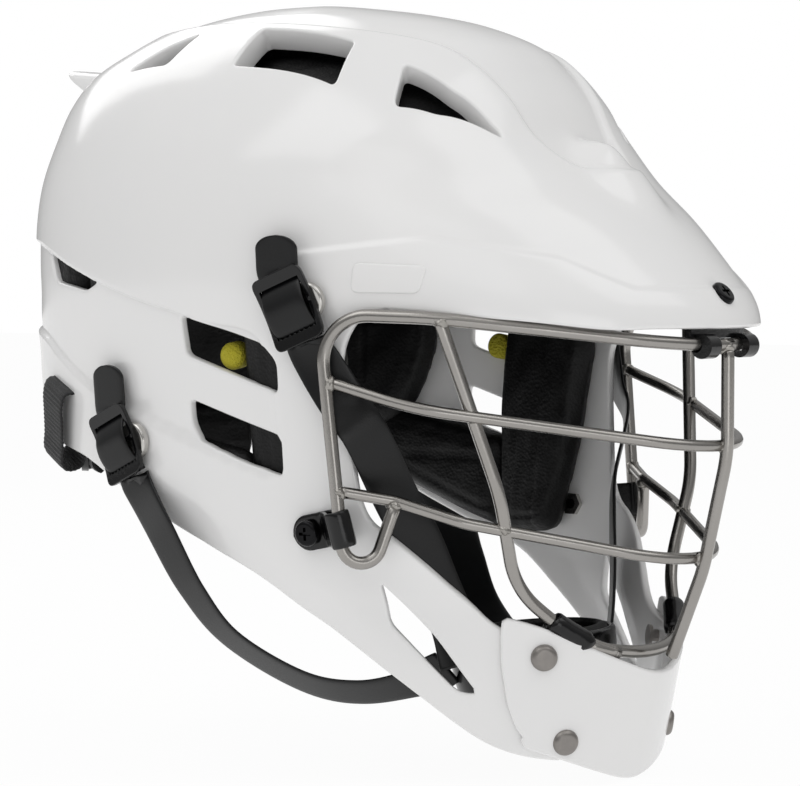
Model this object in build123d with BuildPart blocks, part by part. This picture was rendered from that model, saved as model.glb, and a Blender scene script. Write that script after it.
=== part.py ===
from build123d import *
import math
import os

os.makedirs("parts", exist_ok=True)

# A lacrosse helmet. The wearer faces -Y, +Z is up and the wearer's left is +X.
# The origin is the middle of the head cavity at the height of the ears.

# Overall sizes of the shell, in millimetres
crown_height = 149.0
brim_reach = 191.0
rear_reach = 110.0
half_width = 97.6

# Walls and clearances
shell_wall = 3.4
guard_wall = 2.6
lap_gap = 0.15
soft_gap = 0.4
fit_gap = 0.25
weld_gap = 0.1
overrun = 30.0
skin_probe = 0.2

# Sculpted depths in the shell
channel_depth = 1.9
step_depth = 1.6
vent_collar_wall = 2.0
vent_collar_depth = 9.0
collar_sink = 0.3

# Mask wire
frame_wire = 4.4
bar_wire = 3.8

# One row for each level of the shell, crown first. The columns are shares of crown_height (the
# level), half_width, brim_reach (front), rear_reach (back) and brim_reach (widest place), then the
# powers of the front and rear halves of the egg-shaped outline.
form_shares = [
    (0.995, 0.200, 0.160, 0.153, 0.100, 2.10, 2.10),
    (0.973, 0.307, 0.293, 0.364, 0.105, 2.20, 2.10),
    (0.940, 0.400, 0.414, 0.527, 0.113, 2.30, 2.12),
    (0.886, 0.543, 0.518, 0.673, 0.124, 2.40, 2.15),
    (0.819, 0.672, 0.571, 0.818, 0.140, 2.50, 2.20),
    (0.738, 0.785, 0.618, 0.900, 0.155, 2.50, 2.20),
    (0.638, 0.889, 0.662, 0.945, 0.176, 2.45, 2.20),
    (0.537, 0.953, 0.746, 0.986, 0.183, 2.15, 2.20),
    (0.436, 0.989, 0.843, 1.000, 0.183, 2.07, 2.20),
    (0.336, 1.000, 0.921, 1.000, 0.183, 2.05, 2.20),
    (0.255, 1.000, 0.976, 0.995, 0.183, 2.05, 2.20),
    (0.188, 0.987, 1.000, 1.000, 0.183, 2.05, 2.20),
    (0.101, 0.967, 1.000, 0.995, 0.183, 2.07, 2.20),
    (0.000, 0.947, 0.995, 0.991, 0.183, 2.10, 2.20),
    (-0.268, 0.912, 0.937, 0.945, 0.183, 2.15, 2.20),
    (-0.436, 0.897, 0.890, 0.918, 0.183, 1.75, 2.20),
    (-0.570, 0.886, 0.859, 0.891, 0.183, 1.65, 2.20),
    (-0.940, 0.840, 0.764, 0.827, 0.183, 2.00, 2.20),
]
ring_steps = 4


def level_sizes(level, inset):
    """Height, middle, half width, front and back lengths and powers of one level, in millimetres."""
    rise, wide, fore, aft, middle, fore_power, aft_power = level
    height = rise * crown_height
    if rise > 0:
        height -= inset * rise
    mid = -brim_reach * middle
    width = half_width * wide - inset
    front = brim_reach * fore - inset + mid
    back = rear_reach * aft - inset - mid
    return height, mid, width, front, back, fore_power, aft_power


def quarter_ring(width, length, mid, power):
    """Points of one quarter of the outline, from the middle of the far end to the +X side."""
    points = []
    for step in range(ring_steps + 1):
        angle = math.pi / 2 * step / ring_steps
        out = math.sin(angle) ** (2 / power)
        along = math.cos(angle) ** (2 / power)
        points.append((width * out, mid + length * along))
    return points


made_forms = {}


def form(inset, first=0, last=None):
    """The +X half inside the shell's outer skin, drawn in by inset. Each one is made once."""
    key = (round(inset, 3), first, last)
    if key in made_forms:
        return made_forms[key]
    with BuildPart() as body:
        for level in form_shares[first:last]:
            height, mid, width, front, back, fore_power, aft_power = level_sizes(level, inset)
            with BuildSketch(Plane.XY.offset(height)):
                with BuildLine():
                    fore_points = quarter_ring(width, -front, mid, fore_power)
                    Spline(*fore_points, tangents=[(1, 0), (0, 1)])
                    aft_points = quarter_ring(width, back, mid, aft_power)
                    Spline(*aft_points[::-1], tangents=[(0, 1), (-1, 0)])
                    Line((0, mid + back), (0, mid - front))
                make_face()
        loft(ruled=True)
    made_forms[key] = body.part
    return body.part


def seat(y, z, x=None):
    """Plane on the outer skin at +X: x runs back along the skin, y up the skin and z stands out."""
    if x is None:
        line = Axis((half_width * 2, y, z), (-1, 0, 0))
    else:
        line = Axis((x + skin_probe, -brim_reach * 2, z), (0, 1, 0))
    origin, out = form(0).find_intersection_points(line)[0]
    if out.dot(line.direction) > 0:
        out = -out
    if x is not None:
        origin = Vector(x, origin.Y, origin.Z)
        out = Vector(0, out.Y, out.Z).normalized()
    return Plane(origin=origin, x_dir=Vector(0, 0, 1).cross(out).normalized(), z_dir=out)


def side_prism(shares, reach=half_width * 1.5, corner=0.0, grow=0.0):
    """Prism across the helmet. The points are shares of brim_reach and crown_height."""
    with BuildPart() as prism:
        with BuildSketch(Plane.YZ):
            with BuildLine():
                Polyline(*[(y * brim_reach, z * crown_height) for y, z in shares], close=True)
            make_face()
            if corner:
                fillet(vertices(), corner)
            if grow:
                offset(amount=grow)
        extrude(amount=reach, both=True)
    return prism.part


def plan_prism(shares, corner=0.0, grow=0.0):
    """Prism straight up. The points are shares of half_width and brim_reach."""
    with BuildPart() as prism:
        with BuildSketch(Plane.XY):
            with BuildLine():
                Polyline(*[(x * half_width, y * brim_reach) for x, y in shares], close=True)
            make_face()
            if corner:
                fillet(vertices(), corner)
            if grow:
                offset(amount=grow)
        extrude(amount=crown_height + overrun)
    return prism.part


def channel_prism():
    """Left half of the crown channel, straight up, with a smooth side from its rear end to the brow."""
    points = [(x * half_width, y * brim_reach) for x, y in channel_shares]
    with BuildPart() as prism:
        with BuildSketch(Plane.XY):
            with BuildLine():
                Spline(*points, tangents=[(1, 0), (-1, 0)])
                Line(points[-1], points[0])
            make_face()
        extrude(amount=crown_height + overrun)
    return prism.part


def layer(outer_inset, inner_inset):
    """A hollow shell form between two insets."""
    with BuildPart() as skin:
        add(form(outer_inset))
        add(form(inner_inset), mode=Mode.SUBTRACT)
    return skin.part


# Outer shell

# Side view of the shell, as shares of brim_reach and crown_height: the rear rim, the lower rim of
# the jaw arm, the tongue under the chin guard, the top of the arm, the face opening and the brim.
shell_side_shares = [
    (0.700, -0.114),
    (0.392, -0.121),
    (0.220, -0.161),
    (0.031, -0.289),
    (-0.105, -0.362),
    (-0.230, -0.423),
    (-0.319, -0.503),
    (-0.377, -0.550),
    (-0.513, -0.685),
    (-0.655, -0.850),
    (-0.785, -0.880),
    (-0.785, -0.575),
    (-0.670, -0.556),
    (-0.618, -0.470),
    (-0.529, -0.329),
    (-0.466, -0.275),
    (-0.445, 0.000),
    (-0.440, 0.130),
    (-0.500, 0.238),
    (-0.655, 0.221),
    (-0.800, 0.201),
    (-0.906, 0.174),
    (-0.958, 0.181),
    (-1.150, 0.168),
    (-1.150, 1.300),
    (0.700, 1.300),
]
tongue_gap_share = 0.30
channel_shares = [
    (0.000, 0.320),
    (0.260, 0.260),
    (0.380, -0.070),
    (0.440, -0.330),
    (0.310, -0.550),
    (0.220, -0.680),
    (0.000, -0.760),
]
step_band_shares = [
    (0.700, 0.420),
    (0.393, 0.383),
    (0.152, 0.289),
    (0.037, 0.248),
    (-0.073, 0.215),
    (-0.152, 0.188),
    (-0.252, 0.175),
    (-0.290, 0.120),
    (-0.300, -0.188),
    (-0.079, -0.101),
    (0.073, -0.040),
    (0.168, 0.000),
    (0.241, 0.040),
    (0.335, 0.101),
    (0.393, 0.141),
    (0.700, 0.200),
]
ear_vent_shares = {
    "upper": [(-0.079, 0.205), (-0.209, 0.161), (-0.277, 0.134), (-0.304, 0.094), (-0.302, 0.018), (-0.084, 0.107)],
    "lower": [(-0.084, 0.000), (-0.304, -0.087), (-0.304, -0.181), (-0.209, -0.148), (-0.105, -0.101), (-0.086, -0.060)],
    "rear": [(0.356, 0.362), (0.157, 0.285), (0.200, 0.262), (0.325, 0.285)],
}
ear_vent_corner = 2.6
rear_vent_corner = 1.0
crown_vent_shares = {
    "front": [(0.550, -0.450), (0.505, -0.545), (0.420, -0.632), (0.600, -0.540), (0.680, -0.475)],
    "middle": [(0.460, -0.075), (0.530, -0.325), (0.715, -0.350), (0.665, -0.085)],
    "back": [(0.430, 0.094), (0.480, 0.162), (0.565, 0.220), (0.605, 0.105)],
}
crown_vent_corner = 1.6
arm_window_shares = [(-0.480, -0.430), (-0.487, -0.530), (-0.597, -0.692), (-0.628, -0.698), (-0.560, -0.557)]
arm_window_corner = 2.0
fin_shares = [
    (0.420, 0.790),
    (0.455, 0.845),
    (0.590, 0.850),
    (0.588, 0.838),
    (0.545, 0.815),
    (0.520, 0.770),
    (0.508, 0.700),
    (0.420, 0.700),
]
fin_half_width = 15.0
bump_length = 30.0
bump_half_width = 17.0
bump_height = 12.0
bump_share = (0.750, 0.480)
bump_tilt = 52.0


def across(plane):
    """The same plane on the wearer's right."""
    out, back = plane.z_dir, plane.x_dir
    origin = plane.origin
    return Plane(
        origin=(-origin.X, origin.Y, origin.Z),
        x_dir=(back.X, -back.Y, -back.Z),
        z_dir=(-out.X, out.Y, out.Z),
    )


def point_at(shares):
    """A point given as shares of half_width, brim_reach and crown_height."""
    x, y, z = shares
    return Vector(x * half_width, y * brim_reach, z * crown_height)


# Fasteners: shank diameters and where they stand, as shares of brim_reach and crown_height
screw_shank = 4.0
stud_shank = 3.8
rivet_shank = 4.6
brow_screw_share = 0.255
clamp_screw_shares = (-0.366, -0.310)
snap_shares = {"front": (-0.393, 0.242), "rear": (0.058, -0.107)}
rivet_shares = [(-0.722, -0.606), (-0.735, -0.812)]
fit_strap_shares = (0.325, -0.040)
fit_strap_width = 20.0
fit_strap_slot = 3.0
fit_strap_slot_rise = 11.0
fit_strap_thick = 1.5
fit_strap_drop = 19.5

brow_seat = seat(0, brow_screw_share * crown_height, x=0)
clamp_seat = seat(clamp_screw_shares[0] * brim_reach, clamp_screw_shares[1] * crown_height)
snap_seats = {
    name: seat(y * brim_reach, z * crown_height) for name, (y, z) in snap_shares.items()
}
rivet_seats = [seat(y * brim_reach, z * crown_height) for y, z in rivet_shares]
strap_seat = seat(fit_strap_shares[0] * brim_reach, fit_strap_shares[1] * crown_height)
through = shell_wall * 3
shell_holes = [
    (brow_seat, screw_shank),
    (clamp_seat, screw_shank),
    (snap_seats["front"], stud_shank),
    (snap_seats["rear"], stud_shank),
    (rivet_seats[0], rivet_shank),
    (rivet_seats[1], rivet_shank),
]


def on_seat(plane, back, up, out):
    """World point at a local place of a seat plane."""
    return plane.from_local_coords(Vector(back, up, out))


def leaned(plane, back, up, lean):
    """The seat plane moved along the skin and leaned back by an angle."""
    angle = math.radians(lean)
    turned = plane.x_dir * math.cos(angle) - plane.y_dir * math.sin(angle)
    return Plane(origin=on_seat(plane, back, up, 0), x_dir=turned, z_dir=plane.z_dir)


def disc(plane, start, end, radius):
    """Round solid standing on a plane between two heights."""
    with BuildPart() as round_part:
        with BuildSketch(plane.offset(start)):
            Circle(radius)
        extrude(amount=end - start)
    return round_part.part


def block(plane, middle, sizes, corner=0.0):
    """Rectangular solid on a plane. middle holds x, y and the base, sizes holds x, y and height."""
    with BuildPart() as block_part:
        with BuildSketch(plane.offset(middle[2])):
            with Locations((middle[0], middle[1])):
                if corner:
                    RectangleRounded(sizes[0], sizes[1], corner)
                else:
                    Rectangle(sizes[0], sizes[1])
        extrude(amount=sizes[2])
    return block_part.part


with BuildPart() as half_shell:
    add(form(0))
    # Brow bump: the raised root of the brim
    with BuildPart(mode=Mode.PRIVATE) as bump:
        Sphere(bump_half_width)
        scale(by=(1, bump_length / bump_half_width, bump_height / bump_half_width))
    bump_place = Location((0, -bump_share[0] * brim_reach, bump_share[1] * crown_height), (bump_tilt, 0, 0))
    with BuildPart(mode=Mode.PRIVATE) as half_bump:
        add(bump.part.moved(bump_place))
        add(block(Plane.YZ, (0, 0, 0), (3 * brim_reach, 3 * crown_height, half_width)), mode=Mode.INTERSECT)
    add(half_bump.part)
    add(form(shell_wall), mode=Mode.SUBTRACT)
    # Rear fin over the end of the crown channel
    with BuildPart(mode=Mode.PRIVATE) as fin:
        with BuildSketch(Plane.YZ):
            with BuildLine():
                Polyline(*[(y * brim_reach, z * crown_height) for y, z in fin_shares], close=True)
            make_face()
        extrude(amount=fin_half_width)
        add(form(shell_wall / 2), mode=Mode.SUBTRACT)
    add(fin.part)
    # Crown channel and the recessed band behind the ear vents
    for outline, depth in ((channel_prism(), channel_depth), (side_prism(step_band_shares), step_depth)):
        with BuildPart(mode=Mode.PRIVATE) as recess:
            add(layer(-fit_gap, depth))
            add(outline, mode=Mode.INTERSECT)
        add(recess.part, mode=Mode.SUBTRACT)
    # Side outline: face opening, arms and rims
    add(side_prism(shell_side_shares), mode=Mode.INTERSECT)
    with BuildPart(mode=Mode.PRIVATE) as tongue_gap:
        with BuildSketch(Plane.XZ):
            gap_half = tongue_gap_share * half_width
            Rectangle(2 * gap_half, crown_height, align=(Align.CENTER, Align.MAX))
        extrude(amount=brim_reach + overrun)
    add(tongue_gap.part, mode=Mode.SUBTRACT)
    # Collars that line the crown vents, then the vents through them
    with BuildPart(mode=Mode.PRIVATE) as collars:
        for outline in crown_vent_shares.values():
            add(plan_prism(outline, corner=crown_vent_corner, grow=vent_collar_wall))
        add(layer(shell_wall / 2, shell_wall + vent_collar_depth), mode=Mode.INTERSECT)
    add(collars.part)
    for outline in crown_vent_shares.values():
        add(plan_prism(outline, corner=crown_vent_corner), mode=Mode.SUBTRACT)
    # Ear vents and the window of the jaw arm
    for name, outline in ear_vent_shares.items():
        vent_corner = rear_vent_corner if name == "rear" else ear_vent_corner
        add(side_prism(outline, corner=vent_corner), mode=Mode.SUBTRACT)
    add(side_prism(arm_window_shares, corner=arm_window_corner), mode=Mode.SUBTRACT)
    # Holes for the screws, snap studs and rivets, and the slot that the fit strap comes out of
    for place, hole in shell_holes:
        add(disc(place, -through, through, hole / 2 + fit_gap), mode=Mode.SUBTRACT)
    slot_sizes = (fit_strap_width + 2 * fit_gap, fit_strap_slot, 2 * through)
    add(block(strap_seat, (0, fit_strap_slot_rise, -through), slot_sizes), mode=Mode.SUBTRACT)

with BuildPart() as shell:
    add(half_shell.part)
    mirror(half_shell.part, about=Plane.YZ)
shell.part.label = "shell"
export_step(shell.part, "parts/shell.step")

# Chin guard: laps over the tongues of the jaw arms

guard_side_shares = [
    (-0.690, -0.490),
    (-0.672, -0.545),
    (-0.670, -0.620),
    (-0.678, -0.720),
    (-0.690, -0.785),
    (-0.700, -0.800),
    (-0.674, -0.845),
    (-0.674, -0.960),
    (-0.930, -0.960),
    (-0.930, -0.490),
]
guard_top_shares = [(-0.615, -0.497), (-0.461, -0.534), (-0.256, -0.611), (0.000, -0.671)]
guard_low_shares = [(0.000, -0.928), (-0.103, -0.918), (-0.287, -0.880), (-0.615, -0.790)]

with BuildPart() as chin_guard:
    add(layer(-lap_gap - guard_wall, -lap_gap))
    add(side_prism(guard_side_shares), mode=Mode.INTERSECT)
    with BuildPart(mode=Mode.PRIVATE) as rim_prism:
        with BuildSketch(Plane.XZ):
            with BuildLine():
                top = [(x * half_width, z * crown_height) for x, z in guard_top_shares]
                low = [(x * half_width, z * crown_height) for x, z in guard_low_shares]
                Spline(*top, tangents=[(1, -0.3), (1, 0)])
                Line(top[-1], low[0])
                Spline(*low, tangents=[(-1, 0), (-1, 0.3)])
                Line(low[-1], top[0])
            make_face()
            mirror(about=Plane.YZ)
        extrude(amount=brim_reach + overrun)
    add(rim_prism.part, mode=Mode.INTERSECT)
    for left_seat in rivet_seats:
        add(disc(left_seat, -through, through, rivet_shank / 2 + fit_gap), mode=Mode.SUBTRACT)
    mirror(about=Plane.YZ)
chin_guard.part.label = "chin_guard"
export_step(chin_guard.part, "parts/chin_guard.step")

# Rivets of the chin guard. The upper pair also holds the tabs of the chin clips.

rivet_head = 9.7
rivet_dome = 2.6
rivet_tail = 8.0
rivet_tail_height = 1.2
clip_tab = 2.2

with BuildPart() as chin_guard_rivets:
    for left_seat, grip in ((rivet_seats[0], shell_wall + clip_tab + lap_gap), (rivet_seats[1], shell_wall)):
        head_base = lap_gap + guard_wall + weld_gap
        tail_base = -grip - weld_gap
        with BuildSketch(left_seat.offset(tail_base)):
            Circle(rivet_shank / 2)
        extrude(amount=head_base - tail_base)
        with BuildSketch(left_seat.offset(tail_base)):
            Circle(rivet_tail / 2)
        extrude(amount=-rivet_tail_height)
        with BuildSketch(left_seat.offset(head_base)):
            Circle(rivet_head / 2)
        extrude(amount=rivet_dome)
        crown = [e for e in edges().filter_by(GeomType.CIRCLE) if abs(e.radius - rivet_head / 2) < fit_gap]
        reach = head_base + rivet_dome
        crown = [e for e in crown if abs((e.arc_center - left_seat.origin).dot(left_seat.z_dir) - reach) < fit_gap]
        fillet(crown, rivet_dome * 0.85)
    mirror(about=Plane.YZ)
chin_guard_rivets.part.label = "chin_guard_rivets"
export_step(chin_guard_rivets.part, "parts/chin_guard_rivets.step")

# Mask wires, each a bent round wire. Points are shares of half_width, brim_reach, crown_height.


def wire_path(half_shares, radii, closed_at_middle):
    """Bent path across the helmet from the left half's points, which end at the middle."""
    left = [point_at(p) for p in half_shares]
    right = [Vector(-p.X, p.Y, p.Z) for p in left]
    if closed_at_middle:
        right = right[:-1]
        bends = radii + radii[:-1][::-1]
    else:
        bends = radii + radii[::-1]
    with BuildLine() as path:
        FilletPolyline(*left, *right[::-1], radius=bends)
    return path.wire()


def wire(path, radius):
    """Round wire of one radius along a path."""
    with BuildPart() as rod:
        with BuildSketch(Plane(origin=path @ 0, z_dir=path % 0)):
            Circle(radius)
        sweep(path=path)
    return rod.part


hook_bend = 7.0
side_bend = 16.0
perimeter_shares = [
    (0.845, -0.535, -0.250),
    (0.974, -0.486, -0.545),
    (1.014, -0.427, 0.208),
    (0.866, -0.628, 0.189),
    (0.625, -0.793, 0.161),
    (0.246, -0.985, 0.134),
]
perimeter_bends = [hook_bend, side_bend, 60.0, 80.0, 58.0]
upper_bar_shares = [
    (0.989, -0.4540, 0.047),
    (0.902, -0.606, -0.010),
    (0.000, -1.067, -0.128),
]
upper_bar_bends = [50.0, 41.0]
lower_bar_shares = [
    (0.9775, -0.4690, -0.208),
    (0.843, -0.536, -0.230),
    (0.717, -0.648, -0.282),
    (0.000, -1.015, -0.409),
]
lower_bar_bends = [12.0, 30.0, 41.0]
chin_wire_shares = [
    (0.850, -0.634, 0.167),
    (0.812, -0.683, -0.013),
    (0.646, -0.718, -0.309),
    (0.451, -0.749, -0.523),
    (0.000, -0.885, -0.651),
]
chin_wire_bends = [30.0, 40.0, 14.0, 22.0]
centre_wire_shares = [
    (0.000, -0.9885, 0.117),
    (0.000, -1.001, -0.107),
    (0.000, -0.949, -0.389),
    (0.000, -0.868, -0.616),
]
centre_wire_bend = 60.0

perimeter_path = wire_path(perimeter_shares, perimeter_bends, False)
upper_bar_path = wire_path(upper_bar_shares, upper_bar_bends, True)
lower_bar_path = wire_path(lower_bar_shares, lower_bar_bends, True)
chin_wire_path = wire_path(chin_wire_shares, chin_wire_bends, True)
with BuildLine() as centre_line:
    FilletPolyline(*[point_at(p) for p in centre_wire_shares], radius=centre_wire_bend)
centre_path = centre_line.wire()

for name, path, radius in (
    ("mask_perimeter_wire", perimeter_path, frame_wire / 2),
    ("mask_upper_bar", upper_bar_path, bar_wire / 2),
    ("mask_lower_bar", lower_bar_path, bar_wire / 2),
    ("mask_chin_wire", chin_wire_path, frame_wire / 2),
    ("mask_centre_wire", centre_path, frame_wire / 2),
):
    with BuildPart() as mask_wire:
        add(wire(path, radius))
    mask_wire.part.label = name
    export_step(mask_wire.part, f"parts/{name}.step")


# Brow clip: two loops round the top wire and a plate behind the brim, with its screw and nut

loop_wall = 1.9
loop_length = 7.0
loop_spread = 13.0
brow_plate = 2.3
brow_plate_half = 18.0
brow_plate_shares = (0.153, 0.295)
screw_head = 9.4
screw_head_height = 2.4
screw_recess = 3.4
nut_size = 8.0
nut_height = 3.2
plate_back = -shell_wall - lap_gap - brow_plate + fit_gap

with BuildPart() as brow_clip:
    add(layer(shell_wall + lap_gap, shell_wall + lap_gap + brow_plate))
    low, high = [share * crown_height for share in brow_plate_shares]
    with BuildPart(mode=Mode.PRIVATE) as plate_box:
        with BuildSketch(Plane.XY.offset(low)):
            with Locations((0, -brim_reach)):
                Rectangle(2 * brow_plate_half, brim_reach / 2)
        extrude(amount=high - low)
    add(plate_box.part, mode=Mode.INTERSECT)
    mirror(about=Plane.YZ)
    top_wire = point_at(perimeter_shares[-1])
    for side in (-1, 1):
        loop_end = Plane(origin=(side * loop_spread - loop_length / 2, top_wire.Y, top_wire.Z), z_dir=(1, 0, 0))
        add(disc(loop_end, 0, loop_length, frame_wire / 2 + fit_gap + loop_wall))
    add(wire(perimeter_path, frame_wire / 2 + fit_gap), mode=Mode.SUBTRACT)
    add(disc(brow_seat, -through, through, screw_shank / 2 + fit_gap), mode=Mode.SUBTRACT)
    add(disc(brow_seat, -2 * through, plate_back, nut_size), mode=Mode.SUBTRACT)
brow_clip.part.label = "brow_clip"
export_step(brow_clip.part, "parts/brow_clip.step")


def screw(place, head_base, nut_base):
    """Pan head screw with a cross recess. It ends level with the outer face of its nut."""
    with BuildPart() as screw_part:
        add(disc(place, nut_base - nut_height, head_base, screw_shank / 2))
        add(disc(place, head_base, head_base + screw_head_height, screw_head / 2))
        rim = [e for e in edges().filter_by(GeomType.CIRCLE) if e.radius > screw_head / 3]
        top_height = head_base + screw_head_height / 2
        rim = [e for e in rim if place.to_local_coords(e.arc_center).Z > top_height]
        fillet(rim, screw_head_height * 0.6)
        for turn in (0, 90):
            with BuildSketch(place.offset(head_base + screw_head_height / 2)):
                with Locations(Location((0, 0, 0), (0, 0, turn))):
                    Rectangle(screw_head / 2, screw_recess / 3)
            extrude(amount=screw_head_height, mode=Mode.SUBTRACT)
    return screw_part.part


def nut(place, base):
    """Hexagon nut under a wall."""
    with BuildPart() as nut_part:
        with BuildSketch(place.offset(base)):
            RegularPolygon(nut_size / 2, 6, major_radius=False)
            Circle(screw_shank / 2 + weld_gap, mode=Mode.SUBTRACT)
        extrude(amount=-nut_height)
    return nut_part.part


with BuildPart() as brow_clip_screw:
    add(screw(brow_seat, weld_gap, plate_back - lap_gap))
brow_clip_screw.part.label = "brow_clip_screw"
export_step(brow_clip_screw.part, "parts/brow_clip_screw.step")

with BuildPart() as brow_clip_nut:
    add(nut(brow_seat, plate_back - lap_gap))
brow_clip_nut.part.label = "brow_clip_nut"
export_step(brow_clip_nut.part, "parts/brow_clip_nut.step")

# Jaw clamps: a tab on the shell and a loop round the side of the perimeter wire

clamp_width = 13.0
clamp_tab = 2.4
clamp_tab_half = 6.5
hook_start = point_at(perimeter_shares[1])
side_top = point_at(perimeter_shares[2])


def across_line(start, end, height):
    """The point at one height on a straight line between two points."""
    share = (height - start.Z) / (end.Z - start.Z)
    return start + (end - start) * share


with BuildPart() as jaw_clamp_left:
    loop_point = across_line(hook_start, side_top, clamp_seat.origin.Z)
    loop_local = clamp_seat.to_local_coords(loop_point)
    tab_middle = clamp_tab / 2 + weld_gap
    profile = Plane(origin=clamp_seat.origin, x_dir=clamp_seat.x_dir, z_dir=-clamp_seat.y_dir)
    add(block(clamp_seat, (0, 0, weld_gap), (clamp_width, clamp_width, clamp_tab), corner=clamp_width * 0.45))
    with BuildSketch(profile):
        with BuildLine():
            Polyline((0, tab_middle), (-clamp_tab_half, tab_middle), (loop_local.X, loop_local.Z))
        trace(line_width=clamp_tab)
        with Locations((loop_local.X, loop_local.Z)):
            Circle(frame_wire / 2 + fit_gap + loop_wall)
    extrude(amount=clamp_width / 2, both=True)
    add(wire(perimeter_path, frame_wire / 2 + fit_gap), mode=Mode.SUBTRACT)
    add(disc(clamp_seat, -through, through, screw_shank / 2 + fit_gap), mode=Mode.SUBTRACT)
jaw_clamp_left.part.label = "jaw_clamp_left"
export_step(jaw_clamp_left.part, "parts/jaw_clamp_left.step")

with BuildPart() as jaw_clamp_right:
    mirror(jaw_clamp_left.part, about=Plane.YZ)
jaw_clamp_right.part.label = "jaw_clamp_right"
export_step(jaw_clamp_right.part, "parts/jaw_clamp_right.step")

nut_base = -shell_wall - lap_gap
with BuildPart() as jaw_clamp_screws:
    add(screw(clamp_seat, clamp_tab + 2 * weld_gap, nut_base))
    mirror(about=Plane.YZ)
jaw_clamp_screws.part.label = "jaw_clamp_screws"
export_step(jaw_clamp_screws.part, "parts/jaw_clamp_screws.step")

with BuildPart() as jaw_clamp_nuts:
    add(nut(clamp_seat, nut_base))
    mirror(about=Plane.YZ)
jaw_clamp_nuts.part.label = "jaw_clamp_nuts"
export_step(jaw_clamp_nuts.part, "parts/jaw_clamp_nuts.step")

# Chin clips: a sleeve round the chin wire, and a tab behind the arm held by the upper rivet

clip_width = 12.0
clip_tab_end = 6.0
clip_knee = 15.5

with BuildPart() as chin_clip_left:
    rivet_place = rivet_seats[0]
    corner_point = point_at(chin_wire_shares[3])
    sleeve_point = corner_point + (point_at(chin_wire_shares[2]) - corner_point) * 0.12
    reach_out = rivet_place.to_local_coords(sleeve_point)
    along = (rivet_place.x_dir * reach_out.X + rivet_place.y_dir * reach_out.Y).normalized()
    profile = Plane(origin=rivet_place.origin, x_dir=along, z_dir=along.cross(rivet_place.z_dir))
    run = math.hypot(reach_out.X, reach_out.Y)
    tab_level = -shell_wall - lap_gap - clip_tab / 2
    with BuildSketch(profile):
        with BuildLine():
            Polyline((-clip_tab_end, tab_level), (clip_knee, tab_level), (run, reach_out.Z))
        trace(line_width=clip_tab)
    extrude(amount=clip_width / 2, both=True)
    with BuildPart(mode=Mode.PRIVATE) as guard_space:
        add(layer(-lap_gap - guard_wall - weld_gap, weld_gap - lap_gap))
        add(rim_prism.part, mode=Mode.INTERSECT)
    wire_heading = (point_at(chin_wire_shares[2]) - corner_point).normalized()
    sleeve_place = Plane(origin=sleeve_point, z_dir=wire_heading)
    add(disc(sleeve_place, -clip_width / 2, clip_width / 2, frame_wire / 2 + fit_gap + loop_wall))
    add(guard_space.part, mode=Mode.SUBTRACT)
    add(wire(chin_wire_path, frame_wire / 2 + fit_gap), mode=Mode.SUBTRACT)
    add(disc(rivet_place, -2 * through, through, rivet_shank / 2 + fit_gap), mode=Mode.SUBTRACT)
chin_clip_left.part.label = "chin_clip_left"
export_step(chin_clip_left.part, "parts/chin_clip_left.step")

with BuildPart() as chin_clip_right:
    mirror(chin_clip_left.part, about=Plane.YZ)
chin_clip_right.part.label = "chin_clip_right"
export_step(chin_clip_right.part, "parts/chin_clip_right.step")

# Snaps: a stud through the shell with a flange inside and a socket that clips over it

stud_flange = 12.0
flange_height = 1.4
washer_height = 0.6
washer_size = 10.0
stud_rise = 2.6
stud_lip = 2.5
stud_lip_height = 0.7
socket_size = 14.0
socket_base = 0.8
socket_top = 3.4
socket_bore = 5.6
socket_roof = 0.5
strap_sides = {"left": False, "right": True}


def snap_stud(plane):
    """Stud with an inner flange, an outer washer and a lip that the socket grips."""
    with BuildPart() as stud:
        flange_top = -shell_wall - 2 * soft_gap
        add(disc(plane, flange_top - flange_height, flange_top, stud_flange / 2))
        add(disc(plane, flange_top, stud_rise, stud_shank / 2))
        add(disc(plane, weld_gap, washer_height, washer_size / 2))
        add(disc(plane, stud_rise - stud_lip_height, stud_rise, stud_lip))
    return stud.part


def snap_socket(plane):
    """Ring shaped cap of the snap, open towards the shell."""
    with BuildPart() as socket:
        add(disc(plane, socket_base, socket_top, socket_size / 2))
        top_rim = [e for e in edges().filter_by(GeomType.CIRCLE)]
        top_rim = [e for e in top_rim if plane.to_local_coords(e.arc_center).Z > socket_top - fit_gap]
        fillet(top_rim, socket_top * 0.3)
        add(disc(plane, 0, socket_top - socket_roof, socket_bore / 2), mode=Mode.SUBTRACT)
    return socket.part


with BuildPart() as snap_studs:
    for name, snap in snap_seats.items():
        add(snap_stud(snap))
        add(snap_stud(across(snap)))
snap_studs.part.label = "snap_studs"
export_step(snap_studs.part, "parts/snap_studs.step")

# Ladder buckles of the chin harness and the strap end that each one holds

strap_width = 17.0
strap_thick = 1.4
buckle_width = 21.0
buckle_length = 27.0
buckle_base = 3.6
buckle_thick = 1.8
buckle_corner = 2.2
bar_depth = 2.6
bar_lift = 1.2
tooth_count = 7
tooth_depth = 0.8
strap_level = 2.4
strap_crown = 6.9
tail_length = 15.0
buckle_lean = 22.0
buckle_offsets = {"front": (5.8, -2.1), "rear": (6.6, -1.2)}
window_width = strap_width + 2 * fit_gap
half_long = buckle_length / 2


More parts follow.
